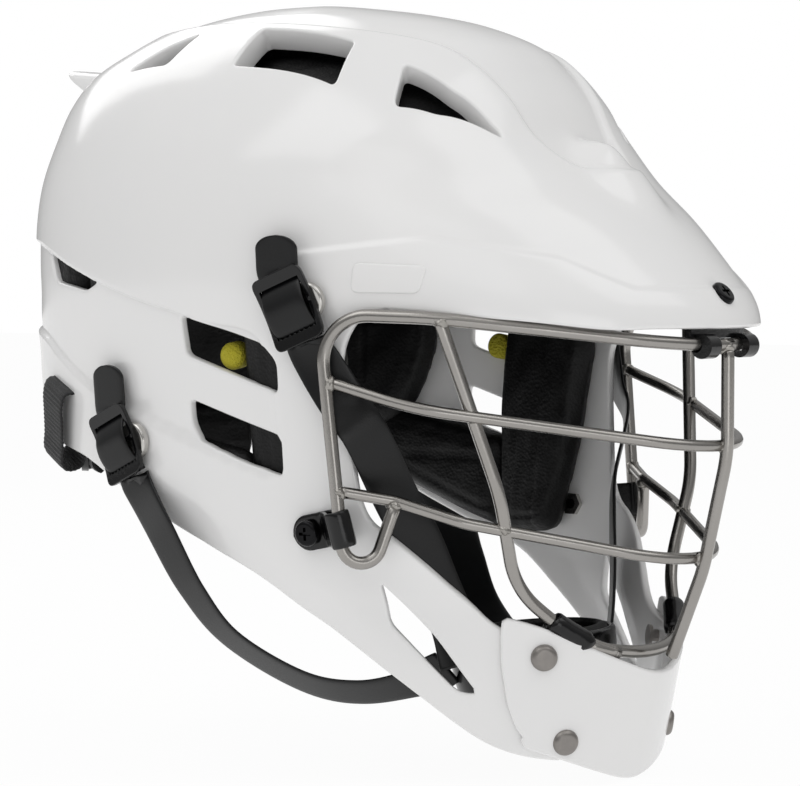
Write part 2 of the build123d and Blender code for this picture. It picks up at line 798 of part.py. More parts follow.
def buckle(plane):
    """Three bar buckle. Its plane stands in the middle of the frame, y along the strap."""
    with BuildPart() as frame_part:
        add(block(plane, (0, 0, buckle_base), (buckle_width, buckle_length, buckle_thick), buckle_corner))
        window_length = half_long - bar_depth * 1.5
        for side in (-1, 1):
            middle = side * (window_length / 2 + bar_depth / 2)
            hole_sizes = (window_width, window_length, buckle_thick)
            add(block(plane, (0, middle, buckle_base), hole_sizes), mode=Mode.SUBTRACT)
        for side in (-1, 1):
            bar_middle = side * (half_long - bar_depth / 2)
            bar_sizes = (buckle_width - 2 * buckle_corner, bar_depth, buckle_thick)
            add(block(plane, (0, bar_middle, buckle_base + bar_lift), bar_sizes))
        pitch = window_width / tooth_count
        for tooth in range(tooth_count):
            tooth_x = (tooth - (tooth_count - 1) / 2) * pitch
            tooth_y = -half_long + bar_depth
            tooth_base = buckle_base + buckle_thick + fit_gap
            tooth_sizes = (pitch / 2, 2 * tooth_depth, buckle_thick)
            add(block(plane, (tooth_x, tooth_y, tooth_base), tooth_sizes), mode=Mode.SUBTRACT)
    return frame_part.part


def strap_end(plane, lean):
    """The strap woven over the middle bar, and its rounded free end above the buckle."""
    with BuildPart() as woven:
        profile = Plane(origin=plane.origin, x_dir=plane.y_dir, z_dir=plane.x_dir)
        flip = profile.to_local_coords(plane.origin + plane.z_dir).Y
        weave = [
            (half_long + bar_depth, strap_level),
            (half_long - 1.5 * bar_depth, strap_level),
            (half_long - 3.3 * bar_depth, strap_crown),
            (-half_long + 3.3 * bar_depth, strap_crown),
            (-half_long + 1.5 * bar_depth, strap_level),
            (-half_long, strap_level),
        ]
        with BuildSketch(profile):
            with BuildLine():
                FilletPolyline(*[(y, n * flip) for y, n in weave], radius=bar_depth / 2)
            trace(line_width=strap_thick)
        extrude(amount=strap_width / 2, both=True)
        end_plane = leaned(plane, 0, half_long, -lean)
        tail_base = strap_level - strap_thick / 2
        with BuildSketch(end_plane.offset(tail_base)):
            with Locations((0, tail_length / 2)):
                Rectangle(strap_width, tail_length)
            with Locations((0, tail_length)):
                Ellipse(strap_width / 2, strap_width / 4)
        extrude(amount=strap_thick)
    return woven.part


buckle_planes = {}
for name, snap in snap_seats.items():
    offset_back, offset_up = buckle_offsets[name]
    buckle_planes[name] = leaned(snap, offset_back, offset_up, buckle_lean)
    with BuildPart() as socket_left:
        add(snap_socket(snap))
    with BuildPart() as buckle_left:
        add(buckle(buckle_planes[name]))
    with BuildPart() as strap_end_left:
        add(strap_end(buckle_planes[name], buckle_lean))
    for piece, solid in (
        ("snap_socket", socket_left),
        ("buckle", buckle_left),
        ("strap_end", strap_end_left),
    ):
        label = f"{piece}_{name}_left"
        solid.part.label = label
        export_step(solid.part, f"parts/{label}.step")
        with BuildPart() as mirrored:
            mirror(solid.part, about=Plane.YZ)
        label = f"{piece}_{name}_right"
        mirrored.part.label = label
        export_step(mirrored.part, f"parts/{label}.step")

# Chin cup: the lower half of an egg-shaped bowl, and the soft pad that lines it

cup_middle_share = (-0.524, -0.617)
cup_half_width = 42.0
cup_half_depth = 24.0
cup_height = 34.0
cup_wall = 2.5
cup_pad = 4.5
cup_rim_rise = 8.0
cup_travel = 15.0


def egg(drawn_in):
    """The solid of the chin cup's outer skin, drawn in by an amount."""
    with BuildPart() as egg_part:
        Sphere(cup_half_width)
        across_scale = (cup_half_width - drawn_in) / cup_half_width
        depth_scale = (cup_half_depth - drawn_in) / cup_half_width
        height_scale = (cup_height - drawn_in) / cup_half_width
        scale(by=(across_scale, depth_scale, height_scale))
    middle = Location((0, cup_middle_share[0] * brim_reach, cup_middle_share[1] * crown_height))
    return egg_part.part.moved(middle)


def bowl(outer, inner, rim_drop):
    """Lower part of the space between two eggs, below the cup's rim."""
    with BuildPart() as bowl_part:
        add(egg(outer))
        add(egg(inner), mode=Mode.SUBTRACT)
        rim = cup_middle_share[1] * crown_height + cup_rim_rise - rim_drop
        with BuildPart(mode=Mode.PRIVATE) as below:
            with BuildSketch(Plane.XY.offset(rim)):
                with Locations((0, cup_middle_share[0] * brim_reach)):
                    Rectangle(3 * cup_half_width, 3 * cup_half_width)
            extrude(amount=-2 * cup_height)
        add(below.part, mode=Mode.INTERSECT)
    return bowl_part.part


with BuildPart() as chin_cup:
    add(bowl(0, cup_wall, 0))
chin_cup.part.label = "chin_cup"
export_step(chin_cup.part, "parts/chin_cup.step")

with BuildPart() as chin_pad:
    add(bowl(cup_wall + fit_gap, cup_wall + fit_gap + cup_pad, -fit_gap * 4))
chin_pad.part.label = "chin_pad"
export_step(chin_pad.part, "parts/chin_pad.step")

# Harness straps from the buckles to the chin cup. Points are shares of half_width, brim_reach and
# crown_height.

strap_run_shares = {
    "front": [
        (0.950, -0.415, 0.060),
        (0.934, -0.453, -0.013),
        (0.884, -0.503, -0.121),
        (0.758, -0.516, -0.255),
        (0.635, -0.529, -0.383),
        (0.512, -0.537, -0.537),
    ],
    "rear": [
        (0.932, -0.016, -0.330),
        (0.888, -0.073, -0.470),
        (0.812, -0.131, -0.575),
        (0.690, -0.262, -0.680),
        (0.600, -0.360, -0.715),
    ],
}
strap_cup_shares = {"front": (0.456, -0.539, -0.644), "rear": (0.425, -0.508, -0.735)}
strap_cup_facing = {"front": (0.95, -0.30, 0.0), "rear": (1.0, 0.0, 0.0)}
strap_start_drop = 2.0
strap_start_level = 0.6


def strap_run(name):
    """Flat strap through its stations. Its face turns from the skin's slope to the cup's side."""
    plane = buckle_planes[name]
    first = on_seat(plane, 0, -half_long - strap_start_drop, strap_start_level)
    stations = [first]
    stations += [point_at(p) for p in strap_run_shares[name]]
    stations += [point_at(strap_cup_shares[name])]
    count = len(stations)
    with BuildPart() as run_part:
        for i, station in enumerate(stations):
            before = stations[max(i - 1, 0)]
            after = stations[min(i + 1, count - 1)]
            heading = (after - before).normalized() if i else plane.y_dir * -1
            turn = i / (count - 1)
            facing = plane.z_dir * (1 - turn) + Vector(*strap_cup_facing[name]) * turn
            breadth = heading.cross(facing).normalized()
            with BuildSketch(Plane(origin=station, x_dir=breadth, z_dir=heading)):
                Rectangle(strap_width, strap_thick)
        loft(ruled=True)
        swell = -fit_gap * 1.4
        add(egg(swell), mode=Mode.SUBTRACT)
    return run_part.part


for name in snap_seats:
    with BuildPart() as run_left:
        add(strap_run(name))
    label = f"strap_run_{name}_left"
    run_left.part.label = label
    export_step(run_left.part, f"parts/{label}.step")
    with BuildPart() as run_right:
        mirror(run_left.part, about=Plane.YZ)
    label = f"strap_run_{name}_right"
    run_right.part.label = label
    export_step(run_right.part, f"parts/{label}.step")
# Liner pads. Each fills the space between the shell and the head over one outline.

pad_gap = shell_wall + soft_gap
pad_corner = 6.0
pad_groove = 1.6
pad_groove_depth = 2.2
pocket = 15.0
pocket_depth = 11.0
head_half_width = 70.0
head_front = 101.0
head_back = 94.0
crown_pad_share = 0.640
crown_pad_inset = shell_wall + vent_collar_depth + soft_gap
crown_pad_thick = 9.0
ear_pad_thick = 15.0

fastener_places = [brow_seat, clamp_seat, snap_seats["front"], snap_seats["rear"]]


def head_form(front, back):
    """Egg-shaped upright column that stands for the head at brow height."""
    with BuildPart() as column:
        with BuildSketch(Plane.XY.offset(-crown_height)):
            with BuildLine():
                middle = -shell_wall
                Spline((0, -front), (head_half_width, middle), tangents=[(1, 0), (0, 1)])
                Spline((head_half_width, middle), (0, back), tangents=[(0, 1), (-1, 0)])
                mirror(about=Plane.YZ)
            make_face()
        extrude(amount=2 * crown_height)
    return column.part


def pad(outline, inner, corner=pad_corner):
    """Left half of a pad against the shell. inner is the solid of the space it leaves."""
    with BuildPart() as pad_part:
        add(form(pad_gap))
        add(inner, mode=Mode.SUBTRACT)
        add(side_prism(outline, corner=corner), mode=Mode.INTERSECT)
        for fastener in fastener_places:
            add(disc(fastener, -pocket_depth, 0, pocket / 2), mode=Mode.SUBTRACT)
        strap_space = (fit_strap_width + pad_groove, 2 * (fit_strap_slot_rise + fit_strap_drop), pocket_depth)
        add(block(strap_seat, (0, 0, -pocket_depth), strap_space), mode=Mode.SUBTRACT)
    return pad_part.part


brow_pad_shares = [(-0.600, 0.235), (-0.235, 0.235), (-0.235, 0.460), (-0.600, 0.460)]
rear_pad_shares = [(0.245, -0.020), (0.570, -0.020), (0.570, 0.610), (0.245, 0.610)]
temple_pad_shares = [(-0.215, 0.235), (0.225, 0.235), (0.225, 0.610), (-0.215, 0.610)]
jaw_pad_shares = [
    (-0.200, 0.200),
    (-0.390, 0.200),
    (-0.425, 0.120),
    (-0.400, -0.120),
    (-0.350, -0.330),
    (-0.205, -0.330),
    (-0.190, -0.050),
]
side_cushion_shares = [(-0.160, -0.020), (0.080, -0.020), (0.080, -0.260), (-0.020, -0.300), (-0.160, -0.350)]
ear_pad_shares = [(-0.060, 0.200), (0.110, 0.200), (0.110, 0.010), (-0.060, 0.010)]
foam_plug_place = (-0.152, 0.101)
foam_plug_radius = 6.0
foam_plug_reach = 9.0

with BuildPart() as crown_pad:
    add(form(crown_pad_inset))
    add(form(crown_pad_inset + crown_pad_thick, first=2), mode=Mode.SUBTRACT)
    with BuildPart(mode=Mode.PRIVATE) as above:
        with BuildSketch(Plane.XY.offset(crown_pad_share * crown_height)):
            Rectangle(3 * brim_reach, 3 * brim_reach)
        extrude(amount=crown_height)
    add(above.part, mode=Mode.INTERSECT)
    mirror(about=Plane.YZ)
crown_pad.part.label = "crown_pad"
export_step(crown_pad.part, "parts/crown_pad.step")

head = head_form(head_front, head_back)
for label, outline in (("brow_pad", brow_pad_shares), ("rear_pad", rear_pad_shares)):
    with BuildPart() as band_pad:
        add(pad(outline, head))
        mirror(about=Plane.YZ)
    band_pad.part.label = label
    export_step(band_pad.part, f"parts/{label}.step")

inner_face = form(pad_gap + ear_pad_thick, first=2)
for label, outline, inner in (
    ("temple_pad", temple_pad_shares, head),
    ("jaw_pad", jaw_pad_shares, inner_face),
    ("side_cushion", side_cushion_shares, inner_face),
    ("ear_pad", ear_pad_shares, inner_face),
):
    with BuildPart() as side_pad_left:
        add(pad(outline, inner))
    side_pad_left.part.label = f"{label}_left"
    export_step(side_pad_left.part, f"parts/{label}_left.step")
    with BuildPart() as side_pad_right:
        mirror(side_pad_left.part, about=Plane.YZ)
    side_pad_right.part.label = f"{label}_right"
    export_step(side_pad_right.part, f"parts/{label}_right.step")

with BuildPart() as foam_plug_left:
    plug_seat = seat(foam_plug_place[0] * brim_reach, foam_plug_place[1] * crown_height)
    add(disc(plug_seat, -pad_gap - foam_plug_reach, -pad_gap, foam_plug_radius))
    ends = edges().filter_by(GeomType.CIRCLE)
    fillet(ends, foam_plug_radius * 0.3)
foam_plug_left.part.label = "foam_plug_left"
export_step(foam_plug_left.part, "parts/foam_plug_left.step")

with BuildPart() as foam_plug_right:
    mirror(foam_plug_left.part, about=Plane.YZ)
foam_plug_right.part.label = "foam_plug_right"
export_step(foam_plug_right.part, "parts/foam_plug_right.step")

# Nape cradle: a curved plate on two pins that slide in sockets on the shell, with its soft pad

nape_level_share = -0.134
nape_half_width = 44.0
nape_half_height = 12.0
nape_inset = 10.5
nape_plate = 2.6
nape_pad_thick = 8.0
nape_pin = 4.0
nape_pin_spread = 26.0
nape_socket_size = 8.4
nape_travel = 5.0
nape_level = nape_level_share * crown_height


def nape_layer(outer, inner, half_width_of_part, half_height_of_part):
    """Curved plate inside the rear of the shell."""
    with BuildPart() as curved:
        add(form(outer, first=2))
        add(form(inner, first=2), mode=Mode.SUBTRACT)
        with BuildPart(mode=Mode.PRIVATE) as window:
            with BuildSketch(Plane.XZ):
                with Locations((0, nape_level)):
                    RectangleRounded(2 * half_width_of_part, 2 * half_height_of_part, pad_corner)
            extrude(amount=-rear_reach * 1.5)
        add(window.part, mode=Mode.INTERSECT)
        mirror(about=Plane.YZ)
    return curved.part


def nape_pin_place(side):
    """Plane on a pin's axis at the middle of the helmet. It looks backwards."""
    return Plane(origin=(side * nape_pin_spread, 0, nape_level), x_dir=(1, 0, 0), z_dir=(0, 1, 0))


with BuildPart() as nape_cradle:
    add(nape_layer(nape_inset, nape_inset + nape_plate, nape_half_width, nape_half_height))
    with BuildPart(mode=Mode.PRIVATE) as pin:
        add(disc(nape_pin_place(1), rear_reach / 2, rear_reach * 1.5, nape_pin / 2))
        add(form(shell_wall + soft_gap), mode=Mode.INTERSECT)
        add(form(nape_inset + nape_plate / 2, first=2), mode=Mode.SUBTRACT)
    add(pin.part)
    add(mirror(pin.part, about=Plane.YZ, mode=Mode.PRIVATE))
nape_cradle.part.label = "nape_cradle"
export_step(nape_cradle.part, "parts/nape_cradle.step")

with BuildPart() as nape_sockets:
    add(disc(nape_pin_place(1), rear_reach / 2, rear_reach * 1.5, nape_socket_size / 2))
    add(form(shell_wall + lap_gap), mode=Mode.INTERSECT)
    add(form(nape_inset - soft_gap, first=2), mode=Mode.SUBTRACT)
    bore = disc(nape_pin_place(1), 0, rear_reach * 1.5, nape_pin / 2 + fit_gap)
    add(bore, mode=Mode.SUBTRACT)
    mirror(about=Plane.YZ)
nape_sockets.part.label = "nape_sockets"
export_step(nape_sockets.part, "parts/nape_sockets.step")

with BuildPart() as nape_pad:
    pad_front = nape_inset + nape_plate + lap_gap
    add(nape_layer(pad_front, pad_front + nape_pad_thick, nape_half_width, nape_half_height))
nape_pad.part.label = "nape_pad"
export_step(nape_pad.part, "parts/nape_pad.step")

# Fit straps: a flat band through a slot in the shell and round its lower rim, each side

fit_strap_air = 1.8


def fit_strap(plane):
    """Closed loop of webbing through the slot and round the rim."""
    with BuildPart() as loop_part:
        profile = Plane(origin=plane.origin, x_dir=plane.z_dir, z_dir=plane.x_dir)
        flip = profile.to_local_coords(plane.origin + plane.y_dir).Y
        half = fit_strap_thick / 2
        out = fit_strap_air + half
        back = -shell_wall - fit_strap_air - half
        low = -fit_strap_drop * flip
        high = fit_strap_slot_rise * flip
        with BuildSketch(profile):
            with BuildLine():
                FilletPolyline((out, high), (out, low), (back, low), (back, high), radius=out, close=True)
            trace(line_width=fit_strap_thick)
        extrude(amount=fit_strap_width / 2, both=True)
    return loop_part.part


with BuildPart() as fit_strap_left:
    add(fit_strap(strap_seat))
fit_strap_left.part.label = "fit_strap_left"
export_step(fit_strap_left.part, "parts/fit_strap_left.step")

with BuildPart() as fit_strap_right:
    mirror(fit_strap_left.part, about=Plane.YZ)
fit_strap_right.part.label = "fit_strap_right"
export_step(fit_strap_right.part, "parts/fit_strap_right.step")
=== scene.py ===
import bmesh
import bpy
import math
import numpy as np
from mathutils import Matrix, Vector


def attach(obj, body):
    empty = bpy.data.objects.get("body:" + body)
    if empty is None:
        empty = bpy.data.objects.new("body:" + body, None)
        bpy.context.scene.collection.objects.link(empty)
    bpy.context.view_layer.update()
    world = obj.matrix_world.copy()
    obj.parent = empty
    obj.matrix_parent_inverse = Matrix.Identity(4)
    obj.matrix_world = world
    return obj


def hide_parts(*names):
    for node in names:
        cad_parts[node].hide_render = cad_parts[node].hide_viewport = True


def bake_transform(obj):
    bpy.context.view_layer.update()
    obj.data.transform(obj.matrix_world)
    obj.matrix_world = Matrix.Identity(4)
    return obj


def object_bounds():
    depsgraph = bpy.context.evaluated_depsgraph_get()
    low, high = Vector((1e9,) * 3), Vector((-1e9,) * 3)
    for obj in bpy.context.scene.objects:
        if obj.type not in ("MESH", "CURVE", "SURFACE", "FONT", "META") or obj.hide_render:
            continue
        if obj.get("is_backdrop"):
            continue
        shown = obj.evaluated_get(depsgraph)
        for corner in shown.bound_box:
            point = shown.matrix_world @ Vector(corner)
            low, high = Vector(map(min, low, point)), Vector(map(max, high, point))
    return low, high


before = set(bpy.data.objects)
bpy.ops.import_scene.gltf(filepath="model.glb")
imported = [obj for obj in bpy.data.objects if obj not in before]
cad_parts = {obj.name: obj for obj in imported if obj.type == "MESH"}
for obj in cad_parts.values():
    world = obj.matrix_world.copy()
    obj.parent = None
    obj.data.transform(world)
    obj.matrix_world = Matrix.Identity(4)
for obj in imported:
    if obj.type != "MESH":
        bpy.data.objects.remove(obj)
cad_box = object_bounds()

# Lacrosse helmet. The wearer faces -Y, +Z is up and the wearer's left is +X. All sizes are in
# metres, and the origin is the middle of the head cavity at the height of the ears.

# ---------------------------------------------------------------------------------------------
# Outer shell: the hard dome with its brim, crown vents, ear vents and two long jaw arms. It is one
# injection moulding of white ABS about 3.4 mm thick, gloss as it leaves the mould. Every fitting
# and pad is screwed, riveted or stuck to it.

MM = 0.001
CROWN_HEIGHT = 149.0 * MM
HALF_WIDTH = 97.6 * MM
BRIM_REACH = 191.0 * MM
REAR_REACH = 110.0 * MM
SHELL_WALL = 3.4 * MM
SHELL_EDGE = 1.0 * MM
FAR = 9.0

# One row for each level of the shell, from the crown down: height as a share of CROWN_HEIGHT, half
# width, reach of the front, reach of the back and place of the widest point as shares of the sizes
# above, then how square the front and the back of the outline are.
SHELL_LEVELS = np.array([
    (1.000, 0.000, 0.100, 0.045, 0.100, 2.05, 2.10),
    (0.995, 0.200, 0.160, 0.153, 0.100, 2.10, 2.10),
    (0.973, 0.307, 0.293, 0.364, 0.105, 2.20, 2.10),
    (0.940, 0.400, 0.414, 0.527, 0.113, 2.30, 2.12),
    (0.886, 0.543, 0.518, 0.673, 0.124, 2.40, 2.15),
    (0.819, 0.672, 0.571, 0.818, 0.140, 2.50, 2.20),
    (0.738, 0.785, 0.618, 0.900, 0.155, 2.50, 2.20),
    (0.638, 0.889, 0.662, 0.945, 0.176, 2.45, 2.20),
    (0.537, 0.953, 0.746, 0.986, 0.183, 2.15, 2.20),
    (0.436, 0.989, 0.843, 1.000, 0.183, 2.07, 2.20),
    (0.336, 1.000, 0.921, 1.000, 0.183, 2.05, 2.20),
    (0.255, 1.000, 0.976, 0.995, 0.183, 2.05, 2.20),
    (0.188, 0.987, 1.000, 1.000, 0.183, 2.05, 2.20),
    (0.101, 0.967, 1.000, 0.995, 0.183, 2.07, 2.20),
    (0.000, 0.947, 0.995, 0.991, 0.183, 2.10, 2.20),
    (-0.268, 0.912, 0.937, 0.945, 0.183, 2.15, 2.20),
    (-0.436, 0.897, 0.890, 0.918, 0.183, 1.75, 2.20),
    (-0.570, 0.886, 0.859, 0.891, 0.183, 1.65, 2.20),
    (-0.940, 0.840, 0.764, 0.827, 0.183, 2.00, 2.20),
    (-1.310, 0.794, 0.669, 0.763, 0.183, 2.00, 2.20),
])
LAST_LEVEL = len(SHELL_LEVELS) - 2


def level_at(place):
    """Rows of the level table at fractional places, on a smooth curve through the rows."""
    place = np.clip(np.asarray(place, float), 0, LAST_LEVEL)
    row = np.minimum(place.astype(int), LAST_LEVEL - 1)
    share = (place - row)[:, None]
    table = SHELL_LEVELS
    mirrored = table[1] * np.array([1, -1, 1, 1, 1, 1, 1])
    mirrored[2:4] = 2 * table[0][2:4] - table[1][2:4]
    before = np.where((row == 0)[:, None], mirrored, table[np.maximum(row - 1, 0)])
    start, end, after = table[row], table[row + 1], table[row + 2]
    bend = 2 * before - 5 * start + 4 * end - after
    turn = 3 * (start - end) + after - before
    return start + 0.5 * share * (end - before + share * (bend + share * turn))


def skin_at(place, angle):
    """Points of the plain outer skin. angle runs from the front over the wearer's left side."""
    rise, wide, fore, aft, middle, fore_power, aft_power = level_at(place).T
    mid = -BRIM_REACH * middle
    across, along = np.sin(angle), np.cos(angle)
    front = along > 0
    power = np.where(front, fore_power, aft_power)
    reach = np.where(front, BRIM_REACH * fore + mid, REAR_REACH * aft - mid)
    x = HALF_WIDTH * wide * np.sign(across) * np.abs(across) ** (2 / power)
    y = mid - reach * np.sign(along) * np.abs(along) ** (2 / power)
    return np.stack([x, y, CROWN_HEIGHT * rise], -1)


def unit(vectors):
    """Vectors made one long."""
    return vectors / np.maximum(np.linalg.norm(vectors, axis=-1, keepdims=True), 1e-12)


def skin_grid(first, last, rows, start, end, columns):
    """Grid over a window of the skin: points and outward directions, both rows x columns x 3."""
    places, angles = np.linspace(first, last, rows), np.linspace(start, end, columns)
    place, angle = (grid.ravel() for grid in np.meshgrid(places, angles, indexing="ij"))
    step = 0.01
    down = skin_at(place + step, angle) - skin_at(np.maximum(place - step, 0.004), angle)
    row = level_at(np.maximum(place, 0.02)).T
    front = np.cos(angle) > 0
    power = np.where(front, row[5], row[6])
    middle = BRIM_REACH * row[4]
    reach = np.where(front, BRIM_REACH * row[2] - middle, REAR_REACH * row[3] + middle)
    across, along = np.sin(angle), np.cos(angle)
    out_x = np.sign(across) * np.abs(across) ** (2 - 2 / power) / (HALF_WIDTH * row[1])
    out_y = -np.sign(along) * np.abs(along) ** (2 - 2 / power) / reach
    aside = np.stack([-out_y, out_x, np.zeros_like(out_x)], -1)
    out = unit(np.cross(down, aside))
    return skin_at(place, angle).reshape(rows, columns, 3), out.reshape(rows, columns, 3)


def eased(points, radius):
    """Outline with every corner drawn as a curve that starts up to radius from the corner."""
    points = np.asarray(points, float)
    eased_points = []
    for before, corner, after in zip(np.roll(points, 1, 0), points, np.roll(points, -1, 0)):
        back, on = before - corner, after - corner
        reach_back = min(radius, 0.49 * np.linalg.norm(back))
        reach_on = min(radius, 0.49 * np.linalg.norm(on))
        enter, leave = corner + unit(back) * reach_back, corner + unit(on) * reach_on
        for t in np.linspace(0, 1, 7):
            eased_points.append(enter * (1 - t) ** 2 + corner * 2 * t * (1 - t) + leave * t ** 2)
    return np.array(eased_points)


def depth_inside(outline, a, b):
    """Distance from points (a, b) to a closed outline, positive inside it."""
    near = np.full(a.shape, FAR)
    inside = np.zeros(a.shape, bool)
    for (a0, b0), (a1, b1) in zip(outline, np.roll(outline, -1, 0)):
        da, db = a1 - a0, b1 - b0
        share = np.clip(((a - a0) * da + (b - b0) * db) / max(da * da + db * db, 1e-16), 0, 1)
        near = np.minimum(near, np.hypot(a - a0 - share * da, b - b0 - share * db))
        if b1 != b0:
            crosses = ((b0 > b) != (b1 > b)) & (a < (b - b0) * da / db + a0)
            inside ^= crosses
    return np.where(inside, near, -near)


def side_outline(shares, radius):
    """Outline in side view from shares of BRIM_REACH and CROWN_HEIGHT."""
    return eased(np.array(shares) * (BRIM_REACH, CROWN_HEIGHT), radius)


def ramp(value, low, high):
    """Smooth step from 0 at low to 1 at high."""
    share = np.clip((value - low) / (high - low), 0, 1)
    return share * share * (3 - 2 * share)


SHELL_SIDE = side_outline([
    (0.700, -0.114), (0.392, -0.121), (0.220, -0.161), (0.031, -0.289), (-0.105, -0.362),
    (-0.230, -0.423), (-0.319, -0.503), (-0.377, -0.550), (-0.513, -0.685), (-0.655, -0.850),
    (-0.785, -0.880), (-0.785, -0.575), (-0.670, -0.556), (-0.618, -0.470), (-0.529, -0.329),
    (-0.466, -0.275), (-0.445, 0.000), (-0.440, 0.125), (-0.500, 0.228), (-0.655, 0.209),
    (-0.800, 0.193), (-0.906, 0.172), (-0.958, 0.181), (-1.150, 0.168), (-1.150, 1.300),
    (0.700, 1.300),
], 12 * MM)
EAR_VENTS = [
    [(-0.079, 0.205), (-0.209, 0.161), (-0.277, 0.134), (-0.304, 0.094), (-0.302, 0.018),
     (-0.084, 0.107)],
    [(-0.084, 0.000), (-0.304, -0.087), (-0.304, -0.181), (-0.209, -0.148), (-0.105, -0.101),
     (-0.086, -0.060)],
    [(0.356, 0.362), (0.157, 0.285), (0.200, 0.262), (0.325, 0.285)],
]
EAR_VENTS = [side_outline(vent, 2.6 * MM) for vent in EAR_VENTS]
ARM_WINDOW = side_outline([
    (-0.480, -0.430), (-0.487, -0.530), (-0.597, -0.692), (-0.628, -0.698), (-0.560, -0.557),
], 2.4 * MM)
CROWN_VENTS = [
    [(0.550, -0.450), (0.505, -0.545), (0.420, -0.632), (0.600, -0.540), (0.680, -0.475)],
    [(0.460, -0.075), (0.530, -0.325), (0.715, -0.350), (0.665, -0.085)],
    [(0.430, 0.094), (0.480, 0.162), (0.565, 0.220), (0.605, 0.105)],
]
CROWN_VENTS = [eased(np.array(vent) * (HALF_WIDTH, BRIM_REACH), 2.2 * MM) for vent in CROWN_VENTS]
VENT_DEPTH = 9.0 * MM
VENT_REACH = 3.0 * MM
TONGUE_GAP = 0.30 * HALF_WIDTH
VENT_LOWEST = 60.0 * MM


def shell_inside(points):
    """How far points lie inside the shell's outline, its vents and its windows taken out."""
    x, y, z = points.T
    side = depth_inside(SHELL_SIDE, y, z)
    gap = np.maximum(np.maximum(np.abs(x) - TONGUE_GAP, z), y)
    inside = np.minimum(side, gap)
    for vent in EAR_VENTS + [ARM_WINDOW]:
        inside = np.minimum(inside, -depth_inside(vent, y, z))
    return np.minimum(inside, crown_vent_clear(points))


def crown_vent_clear(points):
    """Distance from points to the nearest crown vent, far away below the crown."""
    x, y, z = points.T
    clear = np.full(x.shape, FAR)
    for vent in CROWN_VENTS:
        clear = np.minimum(clear, -depth_inside(vent, np.abs(x), y))
    return np.where(z > VENT_LOWEST, clear, FAR)


def trimmed(points, outward, field, closed):
    """Cuts a grid along field = 0 and keeps the positive side: points, outward and faces."""
    rows, columns = points.shape[:2]
    flat, out = points.reshape(-1, 3).copy(), outward.reshape(-1, 3)
    value = field(flat)
    # Points close to the cut move onto it, so that no sliver of a face is left there.
    close = np.abs(value) < 0.3 * np.median(np.linalg.norm(np.diff(points, axis=0), axis=-1))
    pull = slope_of(field, flat[close], out[close])
    flat[close] -= pull * value[close, None]
    value[close] = 0
    index = np.arange(rows * columns).reshape(rows, columns)
    if closed:
        index = np.concatenate([index, index[:, :1]], 1)
    quads = np.stack([index[:-1, :-1], index[1:, :-1], index[1:, 1:], index[:-1, 1:]], -1)
    quads = quads.reshape(-1, 4)
    corner = value[quads]
    whole = (corner >= 0).all(1)
    mixed = ~whole & (corner > 0).any(1)
    faces = [tuple(quad) for quad in quads[whole & (corner > 0).any(1)]]
    cuts, pairs, shares = {}, [], []
    for quad in quads[mixed]:
        face = []
        for a, b in zip(quad, np.roll(quad, -1)):
            if value[a] >= 0:
                face.append(a)
            if value[a] * value[b] < 0:
                key = (min(a, b), max(a, b))
                if key not in cuts:
                    cuts[key] = len(flat) + len(pairs)
                    pairs.append(key)
                    shares.append(value[key[0]] / (value[key[0]] - value[key[1]]))
                face.append(cuts[key])
        if len(face) > 2:
            faces.append(tuple(face))
    if pairs:
        pairs, shares = np.array(pairs), np.array(shares)[:, None]
        new = flat[pairs[:, 0]] * (1 - shares) + flat[pairs[:, 1]] * shares
        new_out = unit(out[pairs[:, 0]] * (1 - shares) + out[pairs[:, 1]] * shares)
        flat, out = np.concatenate([flat, new]), np.concatenate([out, new_out])
    used = np.unique(np.concatenate([np.array(face) for face in faces]))
    renumber = np.full(len(flat), -1)
    renumber[used] = np.arange(len(used))
    return flat[used], out[used], [tuple(int(renumber[v]) for v in face) for face in faces]


def slope_of(field, points, outward):
    """Direction along the skin in which field rises, one unit of field for its length."""
    step = 0.15 * MM
    slope = np.zeros_like(points)
    for axis in range(3):
        shift = np.zeros(3)
        shift[axis] = step
        slope[:, axis] = (field(points + shift) - field(points - shift)) / (2 * step)
    slope -= outward * (slope * outward).sum(1, keepdims=True)
    return slope / np.maximum((slope * slope).sum(1, keepdims=True), 0.25)


def open_edges(faces):
    """Edges that only one face uses, as pairs in that face's order, and the points on them."""
    seen = {(a, b): True for face in faces for a, b in zip(face, face[1:] + face[:1])}
    rim = [(a, b) for a, b in seen if (b, a) not in seen]
    return rim, sorted({v for pair in rim for v in pair})


def closed_sheet(outer, rings, inner, faces, rim, rims):
    """Points and faces of two skins that rings of points along their open edges join."""
    number = {v: i for i, v in enumerate(rims)}
    starts = [len(outer) + i * len(rims) for i in range(len(rings))]
    last = len(outer) + len(rings) * len(rims)
    every = list(faces) + [tuple(last + v for v in face[::-1]) for face in faces]
    for pair in rim:
        back, fore = ([v] + [start + number[v] for start in starts] + [last + v] for v in pair)
        for i in range(len(rings) + 1):
            every.append((fore[i], back[i], back[i + 1], fore[i + 1]))
    return np.concatenate([outer] + rings + [inner]), every


